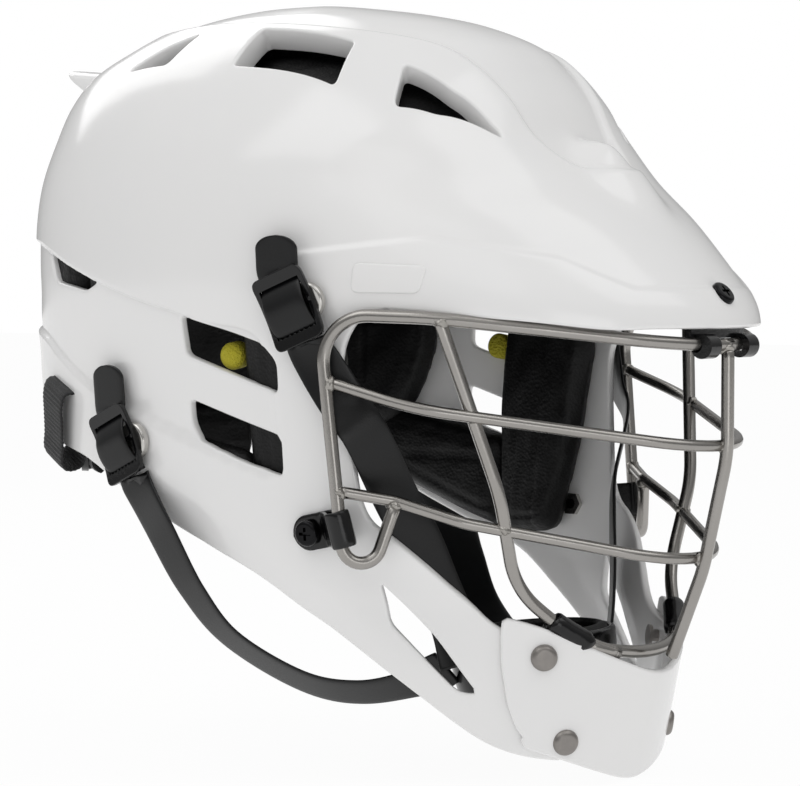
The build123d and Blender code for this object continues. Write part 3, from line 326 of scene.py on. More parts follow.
def new_piece(name, points, faces, material, body="helmet", slot=None):
    """Mesh object of one material that rides on a body, or on none."""
    mesh = bpy.data.meshes.new(name)
    mesh.from_pydata([tuple(p) for p in points], [], faces)
    mesh.validate()
    work = bmesh.new()
    work.from_mesh(mesh)
    bmesh.ops.remove_doubles(work, verts=work.verts, dist=0.02 * MM)
    bmesh.ops.dissolve_degenerate(work, edges=work.edges, dist=0.01 * MM)
    bmesh.ops.recalc_face_normals(work, faces=work.faces)
    for face in work.faces:
        face.smooth = True
    work.to_mesh(mesh)
    work.free()
    piece = bpy.data.objects.new(name, mesh)
    bpy.context.scene.collection.objects.link(piece)
    mesh.materials.append(material)
    if body:
        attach(piece, body)
    return piece


def moulding(name, grid, field, wall, edge, material, slot, closed=False, deep=None):
    """Thick moulding over a grid of skin, cut to a field: outer skin, rounded rims, inner skin."""
    points, out, faces = trimmed(*grid, lambda spots: field(spots) - edge, closed)
    rim, rims = open_edges(faces)
    base, up = points[rims], out[rims]
    aside = -unit(slope_of(field, base, up))
    depth = np.full(len(base), wall) if deep is None else np.maximum(deep(base), wall)
    depth = depth[:, None]
    rings = []
    for turn in (25, 50, 72, 90):
        angle = math.radians(turn)
        rings.append(base + aside * edge * math.sin(angle) - up * edge * (1 - math.cos(angle)))
    rings.append(base + aside * edge - up * (depth - 0.6 * edge))
    rings.append(base + aside * edge * 0.7 - up * (depth - 0.1 * edge))
    rings.append(base - up * depth)
    skins = closed_sheet(points, rings, points - out * wall, faces, rim, rims)
    return new_piece(name, *skins, material, slot=slot)


# Sculpting of the shell. The crown channel lies 2.2 mm deep between two ribs, the band behind the
# ear vents 1.7 mm deep, the brow bump rises from the root of the brim, and the lower edge of each
# jaw arm turns inward below a crease.
CHANNEL = eased(np.array([
    (0.000, 0.330), (0.260, 0.270), (0.400, -0.070), (0.450, -0.330), (0.330, -0.550),
    (0.215, -0.700), (0.000, -0.770), (-0.215, -0.700), (-0.330, -0.550), (-0.450, -0.330),
    (-0.400, -0.070), (-0.260, 0.270),
]) * (HALF_WIDTH, BRIM_REACH), 30 * MM)
CHANNEL_DEPTH = 2.2 * MM
CHANNEL_EDGE = 2.6 * MM
STEP_BAND = side_outline([
    (0.700, 0.420), (0.393, 0.383), (0.152, 0.289), (0.037, 0.248), (-0.073, 0.215),
    (-0.152, 0.188), (-0.252, 0.175), (-0.290, 0.120), (-0.300, -0.188), (-0.079, -0.101),
    (0.073, -0.040), (0.168, 0.000), (0.241, 0.040), (0.335, 0.101), (0.393, 0.141), (0.700, 0.200),
], 8 * MM)
STEP_DEPTH = 1.7 * MM
STEP_EDGE = 1.3 * MM
BUMP_PLACE = (0.750, 0.480)
BUMP_SIZES = np.array([17.0, 30.0, 12.0]) * MM
BUMP_TILT = math.radians(52)
BUMP_BLEND = 3.0 * MM
ARM_CREASE = np.array([
    (40, -30), (0, -33), (-16, -36), (-42, -51), (-72, -68), (-90, -86), (-114, -104), (-140, -120),
]) * MM
ARM_TURN = 0.26
CREASE_BLEND = 1.2 * MM
CREASE_REACH = 30 * MM
CREASE_START = (15 * MM, 35 * MM)
BRIM_CREASE = np.array([(-50, 52), (-70, 54), (-115, 59), (-153, 52), (-174, 41)]) * MM
BRIM_FLARE = 1.1 * MM
FLARE_EDGE = (-0.6 * MM, 2.2 * MM)
FLARE_REACH = 30 * MM
FLARE_FADE = 26 * MM
FLARE_START = (45 * MM, 80 * MM)


def below_line(line, y, z):
    """How far points lie below a line in side view that runs from the back to the front."""
    order = np.argsort(line[:, 0])
    height = np.interp(y, line[order, 0], line[order, 1])
    slope = np.interp(y, line[order, 0], np.gradient(line[order, 1], line[order, 0]))
    return (height - z) / np.sqrt(1 + slope ** 2)


def soft_max(value, blend):
    """The value where it is positive, with a smooth start."""
    return 0.5 * (value + np.sqrt(value * value + blend * blend))


def bump_rise(points):
    """How far the brow bump stands over points of the skin."""
    x, y, z = points.T
    y = y + BUMP_PLACE[0] * BRIM_REACH
    z = z - BUMP_PLACE[1] * CROWN_HEIGHT
    along = y * math.cos(BUMP_TILT) + z * math.sin(BUMP_TILT)
    up = -y * math.sin(BUMP_TILT) + z * math.cos(BUMP_TILT)
    local = np.stack([x, along, up], -1) / BUMP_SIZES
    radius = np.linalg.norm(local, axis=1)
    steep = np.linalg.norm(local / BUMP_SIZES, axis=1) / np.maximum(radius, 1e-6)
    return soft_max((1 - radius) / np.maximum(steep, 1e-6), BUMP_BLEND)


def sculpted(points, outward):
    """Points of the shell's outer skin with its channel, bands, bump and creases."""
    x, y, z = points.T
    lift = bump_rise(points)
    high = z > VENT_LOWEST * 0.8
    channel = depth_inside(CHANNEL, x[high], y[high])
    lift[high] -= CHANNEL_DEPTH * ramp(channel, -CHANNEL_EDGE, CHANNEL_EDGE * 0.6)
    lift -= STEP_DEPTH * ramp(depth_inside(STEP_BAND, y, z), -0.2 * STEP_EDGE, STEP_EDGE)
    under = soft_max(below_line(ARM_CREASE, y, z), CREASE_BLEND)
    lift -= ARM_TURN * np.minimum(under, CREASE_REACH) * ramp(-z, *CREASE_START)
    below = below_line(BRIM_CREASE, y, z)
    flare = ramp(below, *FLARE_EDGE) * ramp(FLARE_REACH - below, 0, FLARE_FADE)
    lift += BRIM_FLARE * flare * ramp(-y, *FLARE_START)
    return points + outward * lift[:, None]


def linear(hex_colour):
    """Linear RGBA of an sRGB hex colour."""
    parts = [int(hex_colour[i:i + 2], 16) / 255 for i in (1, 3, 5)]
    return [c / 12.92 if c <= 0.04045 else ((c + 0.055) / 1.055) ** 2.4 for c in parts] + [1.0]


def add_node(owner, kind, inputs, **settings):
    """Adds a shader node. Each input, by name or number, is a value or the output that feeds it."""
    tree = owner.node_tree
    item = tree.nodes.new("ShaderNode" + kind)
    for name, value in settings.items():
        setattr(item, name, value)
    for name, value in inputs.items():
        if isinstance(value, bpy.types.NodeSocket):
            tree.links.new(value, item.inputs[name])
        else:
            item.inputs[name].default_value = value
    return item


def new_material(name, dark, light, spots, **surface):
    """Principled material whose colour drifts between two shades over spots of a size in metres."""
    material = bpy.data.materials.new(name)
    material.use_nodes = True
    material.node_tree.nodes.clear()
    place = add_node(material, "TexCoord", {}).outputs["Object"]
    drift = add_node(material, "TexNoise", {"Vector": place, "Scale": 1 / spots, "Detail": 4.0})
    shades = {"Fac": drift.outputs["Fac"], 1: linear(dark), 2: linear(light)}
    mix = add_node(material, "MixRGB", shades)
    names = {key.replace("_", " ").title().replace("Ior", "IOR"): surface[key] for key in surface}
    shader = add_node(material, "BsdfPrincipled", {"Base Color": mix.outputs[0], **names})
    add_node(material, "OutputMaterial", {"Surface": shader.outputs[0]})
    return material


def add_relief(material, kind, grain, depth, strength=1.0, **texture):
    """Bumps a material by a texture of a grain size and depth in metres, over earlier relief."""
    place = material.node_tree.nodes["Texture Coordinate"].outputs["Object"]
    normal = material.node_tree.nodes["Principled BSDF"].inputs["Normal"]
    pattern = add_node(material, kind, {"Vector": place, "Scale": 1 / grain, **texture})
    inputs = {"Height": pattern.outputs[0], "Distance": depth, "Strength": strength}
    if normal.is_linked:
        inputs["Normal"] = normal.links[0].from_socket
    material.node_tree.links.new(add_node(material, "Bump", inputs).outputs[0], normal)


# White ABS, glossy from a polished mould: the eye sees a clean white with soft reflections of the
# lamps, and in them a faint waviness of the moulding.
white_abs = new_material("white_abs_gloss_moulded", "#ECECEC", "#F1F0EF", 60 * MM,
                         roughness=0.16, ior=1.53, specular_ior_level=0.5)
add_relief(white_abs, "TexNoise", 11.1 * MM, 0.05 * MM, Detail=1.0)

SHELL_ROWS = 330
SHELL_COLUMNS = 520
around = 2 * math.pi * (1 - 1 / SHELL_COLUMNS)
points, out = skin_grid(0.0, LAST_LEVEL, SHELL_ROWS, 0, around, SHELL_COLUMNS)
sculpt = sculpted(points.reshape(-1, 3), out.reshape(-1, 3)).reshape(points.shape)


def vent_wall(points):
    """Depth of the wall that lines a crown vent, 0 elsewhere."""
    return np.where(crown_vent_clear(points) < VENT_REACH, VENT_DEPTH, 0)


shell = moulding("shell_skin", (sculpt, out), shell_inside, SHELL_WALL, SHELL_EDGE, white_abs,
                 "shell_plastic", True, vent_wall)
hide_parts("shell")

# ---------------------------------------------------------------------------------------------
# Rear fin: a small spoiler at the back of the crown where the channel ends. It is moulded in one
# with the shell, 30 mm wide, with a thin upturned lip.

FIN_HALF_WIDTH = 15.0 * MM
FIN_RINGS = 33
FIN_THIN = 0.55
FIN_ROOT = np.array([0.430 * BRIM_REACH, 0.720 * CROWN_HEIGHT])
FIN_SECTION = side_outline([
    (0.380, 0.800), (0.420, 0.806), (0.470, 0.836), (0.590, 0.850), (0.588, 0.838), (0.545, 0.815),
    (0.520, 0.770), (0.508, 0.700), (0.400, 0.700),
], 3.0 * MM)


def lofted(rings):
    """Points and faces between rings of equal count, with fans over the two ends."""
    count, rounds = len(rings[0]), len(rings)
    faces = []
    for i in range(rounds - 1):
        for j in range(count):
            k = (j + 1) % count
            faces.append((i * count + j, i * count + k, (i + 1) * count + k, (i + 1) * count + j))
    first = count * rounds
    end = first - count
    faces += [((j + 1) % count, j, first) for j in range(count)]
    faces += [(end + j, end + (j + 1) % count, first + 1) for j in range(count)]
    return np.concatenate([*rings, [rings[0].mean(0), rings[-1].mean(0)]]), faces


rings = []
for share in np.linspace(-1, 1, FIN_RINGS):
    size = (1 - abs(share) ** 5) ** 0.45 if abs(share) < 1 else 0.02
    section = FIN_ROOT + (FIN_SECTION - FIN_ROOT) * (FIN_THIN + (1 - FIN_THIN) * size)
    rings.append(np.column_stack([np.full(len(section), share * FIN_HALF_WIDTH), section]))
new_piece("shell_fin", *lofted(rings), white_abs, slot="shell_plastic")

# ---------------------------------------------------------------------------------------------
# Side badge place: a blank oblong that stands half a millimetre proud of the shell between the
# snap and the brim, moulded with it on each side.

BADGE_RISE = 0.55 * MM
BADGE_WALL = 1.2 * MM
BADGE_EDGE = 0.5 * MM
BADGE_PLACE = side_outline([
    (-0.478, 0.333), (-0.474, 0.262), (-0.600, 0.260), (-0.612, 0.326),
], 2.5 * MM)
BADGE_START = {"left": 0.6, "right": 2 * math.pi - 1.6}


def badge_inside(points):
    """How far points lie inside the badge place."""
    return depth_inside(BADGE_PLACE, points[:, 1], points[:, 2])


for side, start in BADGE_START.items():
    points, out = skin_grid(8.6, 12.4, 110, start, start + 1.0, 190)
    raised = sculpted(points.reshape(-1, 3), out.reshape(-1, 3)).reshape(points.shape)
    moulding(f"badge_place_{side}", (raised + out * BADGE_RISE, out), badge_inside, BADGE_WALL,
             BADGE_EDGE, white_abs, "shell_plastic")

# ---------------------------------------------------------------------------------------------
# Chin guard: a second white ABS moulding, 2.6 mm thick, that laps over the ends of the jaw arms
# and closes them in front of the chin. Four rivets hold it.

GUARD_WALL = 2.6 * MM
LAP_GAP = 0.15 * MM
GUARD_SIDE = side_outline([
    (-0.690, -0.440), (-0.672, -0.545), (-0.670, -0.620), (-0.678, -0.720), (-0.690, -0.785),
    (-0.700, -0.800), (-0.674, -0.845), (-0.674, -0.990), (-0.960, -0.990), (-0.960, -0.440),
], 2.5 * MM)
GUARD_TOP = [(-0.615, -0.497), (-0.461, -0.534), (-0.256, -0.611), (0.000, -0.671)]
GUARD_LOW = [(0.000, -0.928), (-0.103, -0.918), (-0.287, -0.880), (-0.615, -0.790)]
GUARD_FRONT = GUARD_TOP + [(-x, z) for x, z in GUARD_TOP[-2::-1] + GUARD_LOW[::-1]] + GUARD_LOW[1:]
GUARD_FRONT = eased(np.array(GUARD_FRONT) * (HALF_WIDTH, CROWN_HEIGHT), 14 * MM)


def guard_inside(points):
    """How far points lie inside the chin guard's outline."""
    x, y, z = points.T
    return np.minimum(depth_inside(GUARD_SIDE, y, z), depth_inside(GUARD_FRONT, x, z))


points, out = skin_grid(14.5, 18.4, 130, -1.0, 1.0, 260)
guard = moulding("chin_guard_skin", (points + out * (LAP_GAP + GUARD_WALL), out), guard_inside,
                 GUARD_WALL, SHELL_EDGE, white_abs, "shell_plastic")
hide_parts("chin_guard")

# Domed rivets of nickel-plated steel, two each side, pressed by hand tools: a dull grey with soft
# highlights and fine scratches.
rivet_steel = new_material("rivet_steel_nickel_dull", "#837F7D", "#98948F", 4 * MM,
                           metallic=0.95, roughness=0.38)
add_relief(rivet_steel, "TexNoise", 0.4 * MM, 0.04 * MM, Detail=3.0)


def dress(node, material):
    """Gives a CAD node a material of this scene."""
    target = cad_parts[node]
    target.data.materials.clear()
    target.data.materials.append(material)


dress("chin_guard_rivets", rivet_steel)

# ---------------------------------------------------------------------------------------------
# Face mask: five steel wires, 4.7 mm for the frame and the uprights and 4.2 mm for the two bars,
# bent cold, welded where they cross and coated in a satin warm grey.

mask_steel = new_material("mask_steel_satin_coat", "#94918D", "#A8A5A1", 20 * MM,
                          metallic=1.0, roughness=0.24)
add_relief(mask_steel, "TexNoise", 0.333 * MM, 0.03 * MM, 0.6)

FRAME_WIRE = 4.7 * MM
BAR_WIRE = 4.2 * MM
WIRE_STEP = 2.0 * MM
WIRE_END = ((1, 0), (0.9, 0.2), (0.6, 0.38))
SHELL_SIZES = np.array([HALF_WIDTH, BRIM_REACH, CROWN_HEIGHT])
PERIMETER = [
    (0.845, -0.535, -0.250), (0.974, -0.486, -0.545), (1.014, -0.427, 0.212),
    (0.866, -0.628, 0.203), (0.625, -0.793, 0.175), (0.246, -0.985, 0.137),
]
UPPER_BAR = [(0.989, -0.4540, 0.047), (0.902, -0.606, -0.010), (0.000, -1.067, -0.128)]
LOWER_BAR = [
    (0.9775, -0.4690, -0.208), (0.843, -0.536, -0.230), (0.717, -0.648, -0.282),
    (0.000, -1.015, -0.409),
]
CHIN_WIRE = [
    (0.843, -0.640, 0.190), (0.656, -0.706, -0.2185), (0.531, -0.696, -0.442),
    (0.3375, -0.7735, -0.577), (0.000, -0.8616, -0.641),
]
CENTRE_WIRE = [
    (0.000, -0.9906, 0.119), (0.000, -0.990, -0.125), (0.000, -0.938, -0.405),
    (0.000, -0.8700, -0.617),
]


def bent(corners, radii):
    """Straight runs joined by arcs, as a wire bender makes them."""
    line = [corners[0]]
    for before, corner, after, radius in zip(corners, corners[1:], corners[2:], radii):
        back, on = unit(before - corner), unit(after - corner)
        half = math.acos(float(np.clip(np.dot(back, on), -1, 1))) / 2
        reach = radius / math.tan(half)
        centre = corner + unit(back + on) * radius / math.sin(half)
        start, end = corner + back * reach - centre, corner + on * reach - centre
        sweep = math.pi - 2 * half
        for t in np.linspace(0, 1, 14):
            arc = start * math.sin((1 - t) * sweep) + end * math.sin(t * sweep)
            line.append(centre + arc / math.sin(sweep))
    line.append(corners[-1])
    return np.array(line)


def whole_wire(half, radii, meets):
    """Both sides of a wire from its left half's corners. meets: the last lies in the middle."""
    left = np.array(half) * SHELL_SIZES
    right = (left * (-1, 1, 1))[::-1]
    if meets:
        return bent(np.concatenate([left, right[1:]]), np.array(radii + radii[-2::-1]) * MM)
    return bent(np.concatenate([left, right]), np.array(radii + radii[::-1]) * MM)


def spaced(line, step):
    """The same line with points no further apart than a step."""
    dense = [line[0]]
    for a, b in zip(line, line[1:]):
        count = max(1, int(np.linalg.norm(b - a) / step))
        dense += [a + (b - a) * (i + 1) / count for i in range(count)]
    return np.array(dense)


def headings(line):
    """Direction of a line at each of its points."""
    ahead = np.concatenate([line[1:], line[-1:]])
    behind = np.concatenate([line[:1], line[:-1]])
    return unit(ahead - behind)


def wire_mesh(line, radius, sides=20):
    """Round wire along a line, its ends rounded off."""
    along = headings(line)
    aside = unit(np.cross(along[0], (0.31, 0.17, 0.93)))
    rings = []
    turn = np.linspace(0, 2 * math.pi, sides, endpoint=False)
    for i, (point, way) in enumerate(zip(line, along)):
        aside = unit(aside - way * np.dot(aside, way))
        up = np.cross(way, aside)
        ring = np.outer(np.cos(turn), aside) + np.outer(np.sin(turn), up)
        if i in (0, len(line) - 1):
            sense = -1 if i == 0 else 1
            dome = [point + radius * (ring * wide + way * sense * rise) for wide, rise in WIRE_END]
            rings += dome[::-1] if i == 0 else dome
        else:
            rings.append(point + ring * radius)
    return lofted(rings)


WIRES = {
    "perimeter_wire": (whole_wire(PERIMETER, [7, 16, 60, 80, 58], False), FRAME_WIRE),
    "upper_bar": (whole_wire(UPPER_BAR, [50, 41], True), BAR_WIRE),
    "lower_bar": (whole_wire(LOWER_BAR, [12, 30, 41], True), BAR_WIRE),
    "chin_wire": (whole_wire(CHIN_WIRE, [60, 32, 70, 60], True), FRAME_WIRE),
    "centre_wire": (bent(np.array(CENTRE_WIRE) * SHELL_SIZES, [60 * MM, 60 * MM]), FRAME_WIRE),
}
for name, (line, size) in WIRES.items():
    WIRES[name] = (spaced(line, WIRE_STEP), size)
    points, faces = wire_mesh(WIRES[name][0], size / 2)
    piece = new_piece(f"mask_{name}_bent", points, faces, mask_steel, slot="mask_steel")
    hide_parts(f"mask_{name}")


def joined(meshes):
    """Several meshes, each points and faces, as one."""
    starts = np.cumsum([0] + [len(points) for points, _ in meshes])
    faces = [tuple(int(start) + v for v in face)
             for start, (_, own) in zip(starts, meshes) for face in own]
    return np.concatenate([points for points, _ in meshes]), faces


# Weld beads at the crossings: lumps of melted steel that fill the corner between two wires, a
# little paler than the wire where the heat has burnt its coat.
WELD_SIZE = 2.9 * MM
WELD_REACH = 0.62
WELD_SPACING = 16 * MM
OWN_STEPS = 20
rng = np.random.default_rng(4)
names = list(WIRES)
spots = []
for i, first in enumerate(names):
    for second in names[i:]:
        (line_a, size_a), (line_b, size_b) = WIRES[first], WIRES[second]
        gap = np.linalg.norm(line_a[:, None] - line_b[None], axis=2)
        if first == second:
            number = np.arange(len(line_a))
            gap[np.abs(number[:, None] - number) < OWN_STEPS] = FAR
        while gap.min() < (size_a + size_b) * WELD_REACH:
            a, b = np.unravel_index(gap.argmin(), gap.shape)
            spot = (line_a[a] + line_b[b]) / 2
            spots.append((spot, unit(line_a[a] - line_b[b] + 1e-9)))
            gap[np.linalg.norm(line_a - spot, axis=1) < WELD_SPACING] = FAR
bead = bmesh.new()
bmesh.ops.create_icosphere(bead, subdivisions=4, radius=1.0)
ball = np.array([v.co for v in bead.verts])
ball_faces = [tuple(v.index for v in face.verts) for face in bead.faces]
bead.free()
beads = []
for spot, across in spots:
    lumps = sum(np.sin(ball @ rng.normal(0, 3.2, 3) + rng.uniform(0, 6)) for _ in range(4)) * 0.05
    flat = ball - across * (ball @ across)[:, None] * 0.22
    beads.append((spot + flat * WELD_SIZE * (1 + lumps[:, None]), ball_faces))
weld_steel = new_material("weld_bead_steel", "#93908B", "#ADAAA5", 2 * MM,
                          metallic=1.0, roughness=0.28)
add_relief(weld_steel, "TexNoise", 1.11 * MM, 0.25 * MM)
new_piece("mask_weld_beads", *joined(beads), weld_steel, slot="mask_steel")

# ---------------------------------------------------------------------------------------------
# Mask fittings: brow clip, jaw clamps and chin clips of black nylon, moulded with a soft gloss and
# faint pores, held by screws in black zinc, which show only in their highlights, and bright nuts.

black_nylon = new_material("black_nylon_moulded", "#050506", "#0A0A0B", 10 * MM,
                           roughness=0.20, ior=1.53, specular_ior_level=0.4)
add_relief(black_nylon, "TexNoise", 1.43 * MM, 0.05 * MM)
black_screw = new_material("screw_steel_black_zinc", "#101011", "#1C1C1E", 3 * MM,
                           metallic=0.8, roughness=0.22)
bright_steel = new_material("fastener_steel_bright", "#B9B7B3", "#CFCDC9", 3 * MM,
                            metallic=1.0, roughness=0.20)
dress("brow_clip", black_nylon)
for node in ("brow_clip_screw", "jaw_clamp_screws"):
    dress(node, black_screw)
for node in ("brow_clip_nut", "jaw_clamp_nuts", "snap_studs"):
    dress(node, bright_steel)
BAND_COUNT = 28
SIDES = {"left": np.array([1, 1, 1]), "right": np.array([-1, 1, 1])}


def seat_axes(out):
    """Axes of a seat on the skin as rows: back along the skin, up the skin and outward."""
    out = unit(np.array(out, float))
    back = unit(np.cross((0, 0, 1), out))
    return np.array([back, np.cross(out, back), out])


def leaned(axes, lean):
    """Axes of a seat turned about the outward one."""
    across = axes[0] * math.cos(lean) - axes[1] * math.sin(lean)
    return np.array([across, np.cross(axes[2], across), axes[2]])


def band(line, faces_out, width, thick, tips=1.0):
    """Flat strap along a line. faces_out gives the way its face looks at each point."""
    along = headings(line)
    across = unit(np.cross(along, faces_out))
    out = unit(np.cross(across, along))
    turn = np.linspace(0, 2 * math.pi, BAND_COUNT, endpoint=False)
    wide = np.sign(np.cos(turn)) * np.abs(np.cos(turn)) ** 0.35 * width / 2
    high = np.sign(np.sin(turn)) * np.abs(np.sin(turn)) ** 0.55 * thick / 2
    tips = np.broadcast_to(tips, len(line))
    rows = zip(line, tips, across, out)
    return lofted([point + np.outer(wide * tip, aside) + np.outer(high, up)
                   for point, tip, aside, up in rows])


def round_tip(run, radius, least):
    """Share of a strap's width at a run from its half-round end."""
    share = np.sqrt(np.clip(1 - (1 - run / radius) ** 2, least, 1))
    return np.where(run > radius, 1, share)


def curved(stations, count):
    """Smooth line through stations, with count points between each two."""
    stations = np.array(stations, float)
    beyond = 2 * stations[[0, -1]] - stations[[1, -2]]
    padded = np.concatenate([beyond[:1], stations, beyond[1:]])
    line = []
    for a, b, c, d in zip(padded, padded[1:], padded[2:], padded[3:]):
        for t in np.linspace(0, 1, count, endpoint=False):
            bend = 2 * a - 5 * b + 4 * c - d + t * (3 * (b - c) + d - a)
            line.append(b + 0.5 * t * (c - a + t * bend))
    return np.array(line + [stations[-1]])

def skin_seat(window, y, z):
    """Point of the left skin at a place in side view, and the seat's axes there."""
    grid, out = skin_grid(*window)
    nearest = np.hypot(grid[..., 1] - y, grid[..., 2] - z)
    row, column = np.unravel_index(nearest.argmin(), nearest.shape)
    return grid[row, column], seat_axes(out[row, column])


# Each jaw clamp is one nylon strap that wraps the side wire, with both ends under the screw. Its
# stations are (back, out) in millimetres, before and after the turn round the wire.
CLAMP_WIDTH = 13.0 * MM
CLAMP_THICK = 1.7 * MM
CLAMP_LEAN = math.radians(12)
CLAMP_TIP = 6.2 * MM
CLAMP_LEVEL = -0.310 * CROWN_HEIGHT
CLAMP_START = np.array([(7.4, 1.55), (3.0, 1.55), (-2.5, 1.55), (-6.8, 2.4)]) * MM
CLAMP_END = np.array([(-10.0, 1.3), (-6.5, 0.55), (-4.0, 0.45)]) * MM
CLAMP_TURN = np.radians([25, 60, 100, 140, 180, 220, 262])
SIDE_WIRE_FROM = 90 * MM
clamp_window = (14.0, 18.0, 240, 0.9, 1.5, 160)
clamp_seat, clamp_axes = skin_seat(clamp_window, -0.366 * BRIM_REACH, CLAMP_LEVEL)
clamp_axes = leaned(clamp_axes, CLAMP_LEAN)
side_wire = WIRES["perimeter_wire"][0]
side_wire = side_wire[side_wire[:, 0] > SIDE_WIRE_FROM]
wire_spot = side_wire[np.abs((side_wire - clamp_seat) @ clamp_axes[1]).argmin()]
wire_middle = (clamp_axes @ (wire_spot - clamp_seat))[[0, 2]]
wrap = (FRAME_WIRE + CLAMP_THICK) / 2 + 0.5 * MM
clamp_turn = wire_middle + wrap * np.stack([np.cos(CLAMP_TURN), np.sin(CLAMP_TURN)], 1)
clamp_path = np.concatenate([CLAMP_START, clamp_turn, CLAMP_END])
clamp_line = curved(np.insert(clamp_path, 1, 0, axis=1), 9)
along = headings(clamp_line)
clamp_face = np.stack([along[:, 2], np.zeros(len(along)), -along[:, 0]], 1)
tips = round_tip(np.linalg.norm(clamp_line - clamp_line[0], axis=1), CLAMP_TIP, 0.002)
tips[len(tips) // 2:] = 1
clamp_points, clamp_faces = band(clamp_line, clamp_face, CLAMP_WIDTH, CLAMP_THICK, tips)
clamp_points = clamp_seat + clamp_points @ clamp_axes

# Each chin clip is a sleeve round the chin wire with a tab along the chin guard's upper rim.
SLEEVE_RADIUS = 4.0 * MM
SLEEVE_FROM, SLEEVE_TO = 0.300 * HALF_WIDTH, 0.425 * HALF_WIDTH
SLEEVE_TOP = -50 * MM
TAB_WIDTH = 8.0 * MM
TAB_THICK = 2.2 * MM
TAB_FROM, TAB_TO, TAB_DROP = 0.235, 0.455, 0.004
TAB_SINK = GUARD_WALL + 1.3 * MM
chin_line = WIRES["chin_wire"][0]
x, y, z = chin_line.T
in_sleeve = (x > SLEEVE_FROM) & (x < SLEEVE_TO) & (z < SLEEVE_TOP)
sleeve = wire_mesh(chin_line[in_sleeve], SLEEVE_RADIUS, 28)
guard_grid, guard_out = skin_grid(14.5, 18.4, 130, 0.1, 1.0, 160)
guard_skin = guard_grid + guard_out * (LAP_GAP + GUARD_WALL)
rim_x, rim_z = np.array(GUARD_TOP).T
tab_line, tab_out = [], []
for share in np.linspace(TAB_FROM, TAB_TO, 5):
    level = (np.interp(-share, rim_x, rim_z) - TAB_DROP) * CROWN_HEIGHT
    away = np.hypot(guard_skin[..., 0] - share * HALF_WIDTH, guard_skin[..., 2] - level)
    row, column = np.unravel_index(away.argmin(), away.shape)
    tab_line.append(guard_skin[row, column] - guard_out[row, column] * TAB_SINK)
    tab_out.append(guard_out[row, column])
tab_line, tab_out = curved(tab_line, 9), curved(tab_out, 9)
number = np.arange(len(tab_line))
tips = round_tip(np.minimum(number, number[::-1]) / 8, 1, 0.1)
clip_points, clip_faces = joined([sleeve, band(tab_line, tab_out, TAB_WIDTH, TAB_THICK, tips)])
for side, flip in SIDES.items():
    piece = new_piece(f"loop_clamp_{side}", clamp_points * flip, clamp_faces, black_nylon,
                      slot="clip_plastic")
    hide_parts(f"jaw_clamp_{side}")
    piece = new_piece(f"chin_sleeve_{side}", clip_points * flip, clip_faces, black_nylon,
                      slot="clip_plastic")
    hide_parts(f"chin_clip_{side}")

# ---------------------------------------------------------------------------------------------
# Snaps and ladder buckles of the chin harness: at four places a nickel snap holds a black nylon
# buckle, and the strap is woven over its middle bar. The lower lip is cut into teeth that grip.

BUCKLE_WIDTH = 21.0 * MM
BUCKLE_LENGTH = 27.0 * MM
BUCKLE_BASE = 3.6 * MM
BUCKLE_THICK = 1.8 * MM
BUCKLE_EDGE = 0.35 * MM
BUCKLE_CORNER = 3.4 * MM
BUCKLE_LEAN = math.radians(22)
BUCKLE_ARCH = 1.5 * MM
BUCKLE_SINK = 0.5 * MM
WINDOW_SIDE, WINDOW_TOP, WINDOW_LOW = 2.0 * MM, 4.4 * MM, 4.2 * MM
TOOTH_COUNT = 8
TOOTH_DEPTH = 0.9 * MM
TOOTH = ((-0.28, 0), (-0.12, 1), (0.12, 1), (0.28, 0))
BAR_RADIUS = 1.0 * MM
BAR_RISE = 0.7 * MM
CORNERS = np.array([(-1, -1), (1, -1), (1, 1), (-1, 1)])
# Each snap's place in millimetres, the way it faces, and how far back and up the buckle lies.
SNAPS = {
    "front": ((95.846, -75.063, 36.058), (0.98694, -0.13112, -0.09361), (5.8, -2.1)),
    "rear": ((87.395, 11.078, -15.943), (0.98176, 0.16860, -0.08793), (6.6, -1.2)),
}


def buckle_seat(name):
    """Middle and axes of a left buckle: its plane leans back by BUCKLE_LEAN."""
    origin, out, offset = SNAPS[name]
    axes = seat_axes(out)
    middle = (np.array(origin) + np.array(offset) @ axes[:2]) * MM
    return middle, leaned(axes, BUCKLE_LEAN)


half_x, half_y = BUCKLE_WIDTH / 2, BUCKLE_LENGTH / 2
frame_outline = eased(CORNERS * (half_x, half_y), BUCKLE_CORNER)
edge_x, top, low = half_x - WINDOW_SIDE, half_y - WINDOW_TOP, WINDOW_LOW - half_y
pitch = 2 * edge_x / TOOTH_COUNT
window = [(-edge_x, top), (-edge_x, low)]
for tooth in range(TOOTH_COUNT):
    x = -edge_x + pitch * (tooth + 0.5)
    window += [(x + pitch * share, low + TOOTH_DEPTH * rise) for share, rise in TOOTH]
window = np.array(window + [(edge_x, low), (edge_x, top)])


def buckle_inside(points):
    """How far points of a flat buckle lie inside its frame and outside its window."""
    x, y, z = points.T
    return np.minimum(depth_inside(frame_outline, x, y), -depth_inside(window, x, y))


across, along = np.meshgrid(np.linspace(-half_x, half_x, 84), np.linspace(-half_y, half_y, 108))
flat_grid = np.stack([across, along, np.full(across.shape, BUCKLE_BASE + BUCKLE_THICK)], -1)
flat_out = np.broadcast_to((0.0, 0.0, 1.0), flat_grid.shape)
blank = moulding("buckle_blank", (flat_grid, flat_out), buckle_inside, BUCKLE_THICK, BUCKLE_EDGE,
                 black_nylon, None)
buckle_points = np.array([v.co for v in blank.data.vertices])
buckle_faces = [tuple(face.vertices) for face in blank.data.polygons]
bpy.data.objects.remove(blank)
